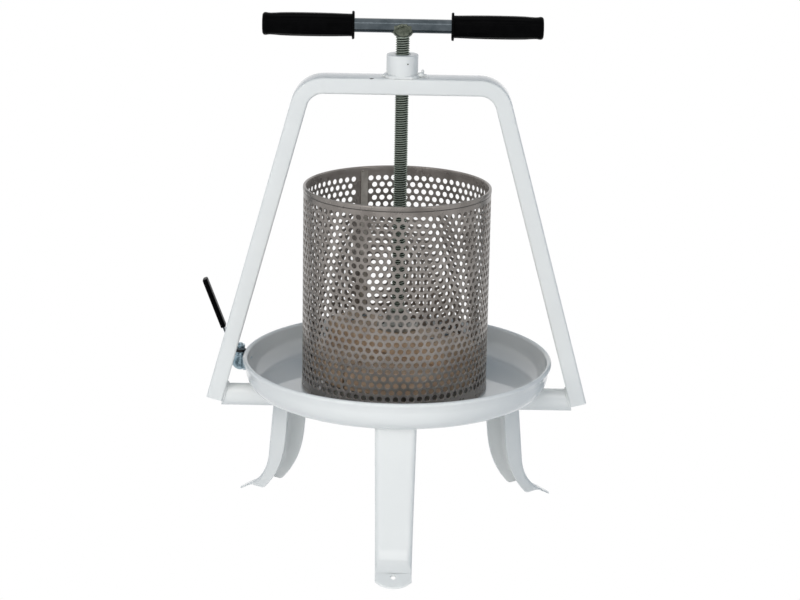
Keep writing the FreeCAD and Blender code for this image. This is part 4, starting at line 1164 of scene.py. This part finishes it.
# %% [markdown]
# ## Spindle: handle bar and weld
# The handle is a length of tube across the top of the screw. The weld under it is a thick cone of metal
# that climbs from the screw to the tube and hugs its round underside, with a bead round the edge. The
# cone is swept in rings that widen on the way up. How far the tube's underside lies below its axis at
# each point comes from the equation of a circle, so the weld meets the tube without a cut.
# %% Spindle: handle bar and weld
BAR_Z = 564.8
BAR_R = 7.6
BAR_BORE = 5.6
BAR_HALF = 147
CONE_BASE = 553.6
CONE_FLAT = 8.6
CONE_RINGS = 8
ACROSS = Matrix.Translation((0, 0, BAR_Z)) @ Matrix.Rotation(PI / 2, 4, "Y")


def under_bar(y, radius):
    return math.sqrt(max(radius ** 2 - min(abs(y), radius) ** 2, 0))


def make_handle_weld():
    bm = bmesh.new()
    rings = []
    for i in range(CONE_RINGS + 1):
        t = i / CONE_RINGS
        ring = []
        for a in round_steps(40):
            x = math.cos(a)
            y = math.sin(a)
            radius = SCREW_R + 4.6 * t ** 0.6 + 0.35 * noise.noise(Vector((x, y, t)) * 2.4)
            top = BAR_Z - under_bar(radius * y, BAR_R - 0.05) + 1.5
            base = CONE_BASE + 0.6 * noise.noise(Vector((x, y, 5)) * 2)
            ring.append((radius * x, max(-CONE_FLAT, min(CONE_FLAT, radius * y)), base + (top - base) * t))
        rings.append(ring)
    sweep(bm, rings)
    return to_object("handle weld cone", bm, 60)


def handle_bead_path():
    path = []
    for a in round_steps(60):
        y = 8.2 * math.sin(a)
        path.append((11.2 * math.cos(a), y, BAR_Z + 1.6 - under_bar(y, BAR_R)))
    return path


tube = [(BAR_BORE, -BAR_HALF), (BAR_R, -BAR_HALF), (BAR_R, BAR_HALF), (BAR_BORE, BAR_HALF)]
piece(lathe("handle tube", tube, 56, place=ACROSS), ZINC, "spindle", "zinc_steel", "handle_bar")
piece(make_handle_weld(), WELD, "spindle", "zinc_steel", "handle_weld")
piece(bead("handle weld bead", handle_bead_path(), 1.7, True, 12), WELD, "spindle", "zinc_steel")
print("handle bar in mm", 2 * BAR_HALF)

# %% [markdown]
# ## Spindle: grips
# Two black vinyl grips are pushed over the ends of the bar. They are fatter in the middle and have a
# flange towards the screw, a rounded closed end, and twelve shallow lengthwise ribs for the fingers. A
# spun profile has no ribs, so rings are swept along the bar, and a cosine presses the grooves into them.
# The grooves fade out over 10 mm at both ends. One function with a direction makes the right and the left
# grip.
# %% Spindle: grips
GRIP_END = [(151.0, 0.0), (151.0, 8.0), (150.8, 10.2), (150.1, 11.4), (149.0, 12.1), (147.5, 12.3)]
GRIP_BODY = [(146.0, 12.1), (144.5, 11.8), (142.0, 11.7), (137.0, 12.0), (131.0, 12.45), (120.0, 12.75)]
GRIP_BODY += [(105.0, 12.85), (90.0, 12.8), (75.0, 12.6), (64.0, 12.3), (58.0, 12.1), (55.2, 12.1)]
GRIP_FLANGE = [(54.8, 12.6), (54.7, 14.8), (54.3, 15.2), (53.0, 15.2)]
GRIP_FLANGE += [(52.4, 14.9), (52.0, 14.3), (52.0, 7.7)]
RIBS = 12
RIB_DEPTH = 0.22
RIB_FROM = 58
RIB_TO = 142
RIB_FADE = 10


def make_grip(name, way):
    bm = bmesh.new()
    rings = []
    for x, radius in GRIP_END + GRIP_BODY + GRIP_FLANGE:
        depth = RIB_DEPTH * max(0, min(1, (x - RIB_FROM) / RIB_FADE, (RIB_TO - x) / RIB_FADE))
        ring = []
        for a in round_steps(72):
            reach = radius - depth * (1 + math.cos(RIBS * a))
            ring.append((way * x, reach * math.cos(a), BAR_Z + reach * math.sin(a)))
        rings.append(ring)
    sweep(bm, rings)
    return to_object(name, bm, 40)


piece(make_grip("right grip", 1), VINYL, "spindle", "black_vinyl", "grip_right")
grip = piece(make_grip("left grip", -1), VINYL, "spindle", "black_vinyl", "grip_left")
print("grip length in mm", round(grip.dimensions.x / MM, 1))

# %% [markdown]
# ## Tap: body and stem
# A small ball valve sits in the wall of the tray at the left: a housing with a round belly and an outlet,
# a hexagon for the spanner, a rubber seal against the tray, and above the ball a neck, a gland and a stem
# with its nut. Each is a turned piece or a six-sided prism with narrow bevels. The parts that lie down
# are drawn upright about their own axis and laid over by one matrix; the others stand on the stem.
# %% Tap: body and stem
TAP_AT = math.radians(170.1)
TAP_Z = 176.0
BALL_AT = 179.7
BALL_R = 9.95
LAY = Matrix.Translation((0, 0, TAP_Z)) @ Matrix.Rotation(TAP_AT, 4, "Z") @ Matrix.Rotation(PI / 2, 4, "Y")
ON_STEM = Matrix.Translation((BALL_AT * math.cos(TAP_AT), BALL_AT * math.sin(TAP_AT), 0))


def make_hexagon(name, radius, high, edge, place):
    bm = bmesh.new()
    bmesh.ops.create_cone(bm, cap_ends=True, segments=6, radius1=radius, radius2=radius, depth=high,
                          matrix=place)
    soften(bm, bm.edges[:], edge)
    return to_object(name, bm)


housing = [(4.0, 166.9), (6.0, 166.9), (6.0, 176.7), (9.2, 176.7)]
housing += arc_points(0, BALL_AT, BALL_R, -16, 56, 10)
housing += [(5.5, 188.2), (5.5, 190.2), (6.2, 190.2), (6.5, 190.5), (6.5, 199.7), (5.7, 200.5), (4.0, 200.5)]
piece(lathe("tap housing", housing, 56, place=LAY, sharp=30), NICKEL, "frame", "nickel_brass", "tap_body")
nut_place = LAY @ Matrix.Translation((0, 0, 173.95)) @ Matrix.Rotation(PI / 2, 4, "Z")
piece(make_hexagon("tap hexagon", 10.9, 5.4, 0.35, nut_place), NICKEL, "frame", "nickel_brass")
neck = [(3.05, 182.0), (6.15, 182.0), (6.15, 187.0), (5.7, 187.5), (3.05, 187.5)]
piece(lathe("tap neck", neck, 40, place=ON_STEM), NICKEL, "frame", "nickel_brass")
gland = [(3.05, 187.65), (6.0, 187.65), (6.2, 187.9), (6.2, 189.9), (5.9, 190.2), (3.05, 190.2)]
piece(lathe("tap gland ring", gland, 40, place=ON_STEM), RUBBER, "frame", "rubber", "tap_gland")
seal = [(6.2, 168.75), (11.3, 168.75), (11.55, 169.0), (11.55, 170.6), (11.0, 171.15), (6.2, 171.15)]
piece(lathe("tap seal ring", seal, 48, place=LAY), RUBBER, "frame", "rubber", "tap_seal")
rod = [(0, 176.5), (2.95, 176.5), (2.95, 196.4), (2.4, 197.2), (0, 197.3)]
stem = lathe("tap spindle", rod, 32, closed=False, place=ON_STEM)
piece(stem, NICKEL, "tap_handle", "nickel_brass", "tap_stem")
nut_place = ON_STEM @ Matrix.Translation((0, 0, 193.85))
nut = make_hexagon("stem hexagon", 5.7, 2.9, 0.3, nut_place)
piece(nut, NICKEL, "tap_handle", "nickel_brass", "tap_stem_nut")
print("the tap stands", round(math.degrees(TAP_AT), 1), "degrees round from +X")

# %% [markdown]
# ## Tap: lever and sleeve
# The lever is a strip of steel, 2 mm thick and 11 mm wide, that lies flat on the stem and then bends up.
# A black vinyl sleeve covers its end. The strip is swept along its bent line with a section that is
# slightly rounded at both edges, as a punched strip is. The sleeve follows the straight end only, so it
# is drawn upright, with its ends drawn in, and then leant over to the slope of the strip.
# %% Tap: lever and sleeve
LEVER_SLOPE = math.radians(69.2)
LEVER_TOP = 192.3
LEVER_LOW = 190.3
LEVER_MIDDLE = (LEVER_TOP + LEVER_LOW) / 2
LEVER_BEND = Vector((-6.5, 195.3))
LEVER_SECTION = ((0, -5.1), (0, 5.1), (0.15, 5.5), (0.85, 5.5))
LEVER_SECTION += ((1, 5.1), (1, -5.1), (0.85, -5.5), (0.15, -5.5))
SLEEVE = ((24.0, 0.86), (24.3, 0.97), (25.0, 1.0), (40.0, 1.0), (60.0, 0.99), (79.0, 0.99), (81.5, 0.96))
SLEEVE += ((82.6, 0.88), (83.0, 0.74))


def bent_from(distance, a):
    return LEVER_BEND - Vector((math.sin(a), math.cos(a))) * distance


def lever_rows():
    rows = [(Vector((x, LEVER_TOP)), Vector((x, LEVER_LOW))) for x in (5.0, 0.0, LEVER_BEND.x)]
    for i in range(1, 10):
        a = LEVER_SLOPE * i / 9
        rows.append((bent_from(LEVER_BEND.y - LEVER_TOP, a), bent_from(LEVER_BEND.y - LEVER_LOW, a)))
    along = Vector((-math.cos(LEVER_SLOPE), math.sin(LEVER_SLOPE)))
    top, low = rows[-1]
    return rows + [(top + along * run, low + along * run) for run in (25.0, 60.0, 81.0)]


def make_lever():
    bm = bmesh.new()
    rings = []
    for top, low in lever_rows():
        ring = []
        for share, y in LEVER_SECTION:
            point = top.lerp(low, share)
            ring.append((point.x, y, point.y))
        rings.append(ring)
    sweep(bm, rings, ends=True)
    bm.transform(ON_STEM)
    return to_object("lever strip", bm, 30)


def make_sleeve():
    bm = bmesh.new()
    rings = []
    for height, grow in SLEEVE:
        section = rounded_section(5.8 * grow, 14.5 * (0.5 + 0.5 * grow), 2.8 * grow, 5)
        rings.append([(u, v, height) for u, v in section])
    sweep(bm, rings, ends=True)
    start = bent_from(LEVER_BEND.y - LEVER_MIDDLE, LEVER_SLOPE)
    leant = Matrix.Translation((start.x, 0, start.y)) @ Matrix.Rotation(LEVER_SLOPE - PI / 2, 4, "Y")
    bm.transform(ON_STEM @ leant)
    return to_object("lever sleeve", bm, 40)


piece(make_lever(), ZINC, "tap_handle", "zinc_steel", "tap_lever")
piece(make_sleeve(), VINYL, "tap_handle", "black_vinyl", "tap_lever_sleeve")
print("sleeve length in mm", SLEEVE[-1][0] - SLEEVE[0][0])

# %% [markdown]
# ## Floor and white room
# The press stands on white. Making the floor white with more light would burn out the pale paint, so the
# floor and the world have two faces: a ray from the camera, from a mirror or through glass sees plain
# white, and every other ray sees an ordinary floor that takes the shadow, and a dim blue sky that fills
# the shadows.
# %% Floor and white room
FLOOR_HALF = 12000
FLOOR_COLOUR = (0.86, 0.87, 0.88, 1)
SKY_COLOUR = (0.48, 0.72, 1.0, 1)
SKY_POWER = 0.23


def seen_directly(nodes, links):
    ray = nodes.new("ShaderNodeLightPath")
    seen = add(nodes, "ShaderNodeMath", operation="MAXIMUM")
    also = add(nodes, "ShaderNodeMath", operation="MAXIMUM")
    links.new(ray.outputs["Is Camera Ray"], seen.inputs[0])
    links.new(ray.outputs["Is Glossy Ray"], seen.inputs[1])
    links.new(seen.outputs[0], also.inputs[0])
    links.new(ray.outputs["Is Transmission Ray"], also.inputs[1])
    return also.outputs[0]


def two_faced(nodes, links, lit, white, out):
    mix = nodes.new("ShaderNodeMixShader")
    links.new(seen_directly(nodes, links), mix.inputs["Fac"])
    links.new(lit, mix.inputs[1])
    links.new(white, mix.inputs[2])
    links.new(mix.outputs["Shader"], out.inputs["Surface"])


def floor_material():
    mat, nodes, links, shader = new_material("floor")
    shader.inputs["Base Color"].default_value = FLOOR_COLOUR
    shader.inputs["Roughness"].default_value = 0.9
    glow = add(nodes, "ShaderNodeEmission", Strength=1.0)
    out = next(node for node in nodes if node.type == "OUTPUT_MATERIAL")
    two_faced(nodes, links, shader.outputs["BSDF"], glow.outputs["Emission"], out)
    return mat


def make_floor():
    bm = bmesh.new()
    bmesh.ops.create_grid(bm, x_segments=1, y_segments=1, size=FLOOR_HALF)
    obj = to_object("floor", bm)
    obj.data.materials.append(floor_material())
    return obj


def make_world():
    world = bpy.data.worlds.new("studio")
    world.use_nodes = True
    nodes = world.node_tree.nodes
    nodes.clear()
    white = add(nodes, "ShaderNodeBackground", Color=(1, 1, 1, 1), Strength=1.0)
    sky = add(nodes, "ShaderNodeBackground", Color=SKY_COLOUR, Strength=SKY_POWER)
    out = nodes.new("ShaderNodeOutputWorld")
    two_faced(nodes, world.node_tree.links, sky.outputs[0], white.outputs[0], out)
    return world


floor = make_floor()
bpy.context.scene.world = make_world()
print("floor", 2 * FLOOR_HALF * MM, "m across")

# %% [markdown]
# ## Lamps
# The press is lit as for a product photograph: one wide lamp and a low one in front, two narrow ones at
# the sides that leave highlights on the bow and the grips, and a wide one behind that shines through the
# basket. The wide lamps are hidden from mirrors, because they would wash over the glossy paint as pale
# sheets. A spot on the floor before the press sends light up under the tray.
# %% Lamps
WARM = (1.0, 0.965, 0.92)
COOL = (0.97, 0.98, 1.0)
MIDDLE = (0, 0, 0.25)


def place_lamp(data, place, aim):
    lamp = bpy.data.objects.new(data.name, data)
    bpy.context.scene.collection.objects.link(lamp)
    lamp.location = place
    lamp.rotation_euler = (Vector(aim) - Vector(place)).to_track_quat("-Z", "Y").to_euler()
    return lamp


def area_lamp(name, place, aim, size, power, colour, mirrored=True):
    data = bpy.data.lights.new(name, "AREA")
    data.shape = "RECTANGLE"
    data.size = size[0]
    data.size_y = size[1]
    data.energy = power
    data.color = colour
    place_lamp(data, place, aim).visible_glossy = mirrored


def floor_lamp():
    data = bpy.data.lights.new("floor spot", "SPOT")
    data.energy = 38
    data.spot_size = math.radians(60)
    data.spot_blend = 0.5
    data.shadow_soft_size = 0.7
    data.color = WARM
    place_lamp(data, (0, -1.5, 1.4), (0, -0.95, 0))


area_lamp("front", (-1.0, -3.0, 1.3), MIDDLE, (4.4, 1.8), 52, WARM, mirrored=False)
area_lamp("low", (-0.2, -3.0, 0.3), (0, 0, 0.2), (3.0, 0.7), 13, WARM, mirrored=False)
area_lamp("left", (-1.9, -2.4, 1.8), MIDDLE, (0.6, 1.2), 10, WARM)
area_lamp("right", (2.1, -2.2, 1.8), MIDDLE, (0.6, 1.2), 7, WARM)
area_lamp("back", (0.3, 3.0, 0.9), MIDDLE, (4.5, 1.2), 46, COOL, mirrored=False)
floor_lamp()
print("lamps", len(bpy.data.lights))

# %% [markdown]
# ## Camera
# The camera stands where a fit to the photograph puts it: 2.5 m in front of the screw, just under a metre
# up, looking down by 15.67 degrees and rolled by about one degree. Its focal length was fitted in pixels
# of a picture 800 pixels wide, so it is turned into millimetres of the sensor here. The same goes for the
# small sideways shift.
# %% Camera
PHOTO_WIDE = 800.0
SENSOR = 36.0
FOCAL_PIXELS = 2342.17
SHIFT_PIXELS = 1.87
CAMERA_AT = (0, -2.5, 0.96048)
LOOK_DOWN = 15.67
ROLL = 1.03


def make_camera():
    data = bpy.data.cameras.new("photo view")
    data.sensor_width = SENSOR
    data.lens = FOCAL_PIXELS * SENSOR / PHOTO_WIDE
    data.shift_x = SHIFT_PIXELS / PHOTO_WIDE
    camera = bpy.data.objects.new("photo view", data)
    bpy.context.scene.collection.objects.link(camera)
    tilt = Matrix.Rotation(math.radians(90 - LOOK_DOWN), 4, "X")
    roll = Matrix.Rotation(math.radians(ROLL), 4, "Z")
    camera.matrix_world = Matrix.Translation(CAMERA_AT) @ tilt @ roll
    return camera


bpy.context.scene.camera = make_camera()
bpy.context.scene.view_settings.view_transform = "Standard"
print("lens", round(bpy.context.scene.camera.data.lens, 1), "mm")
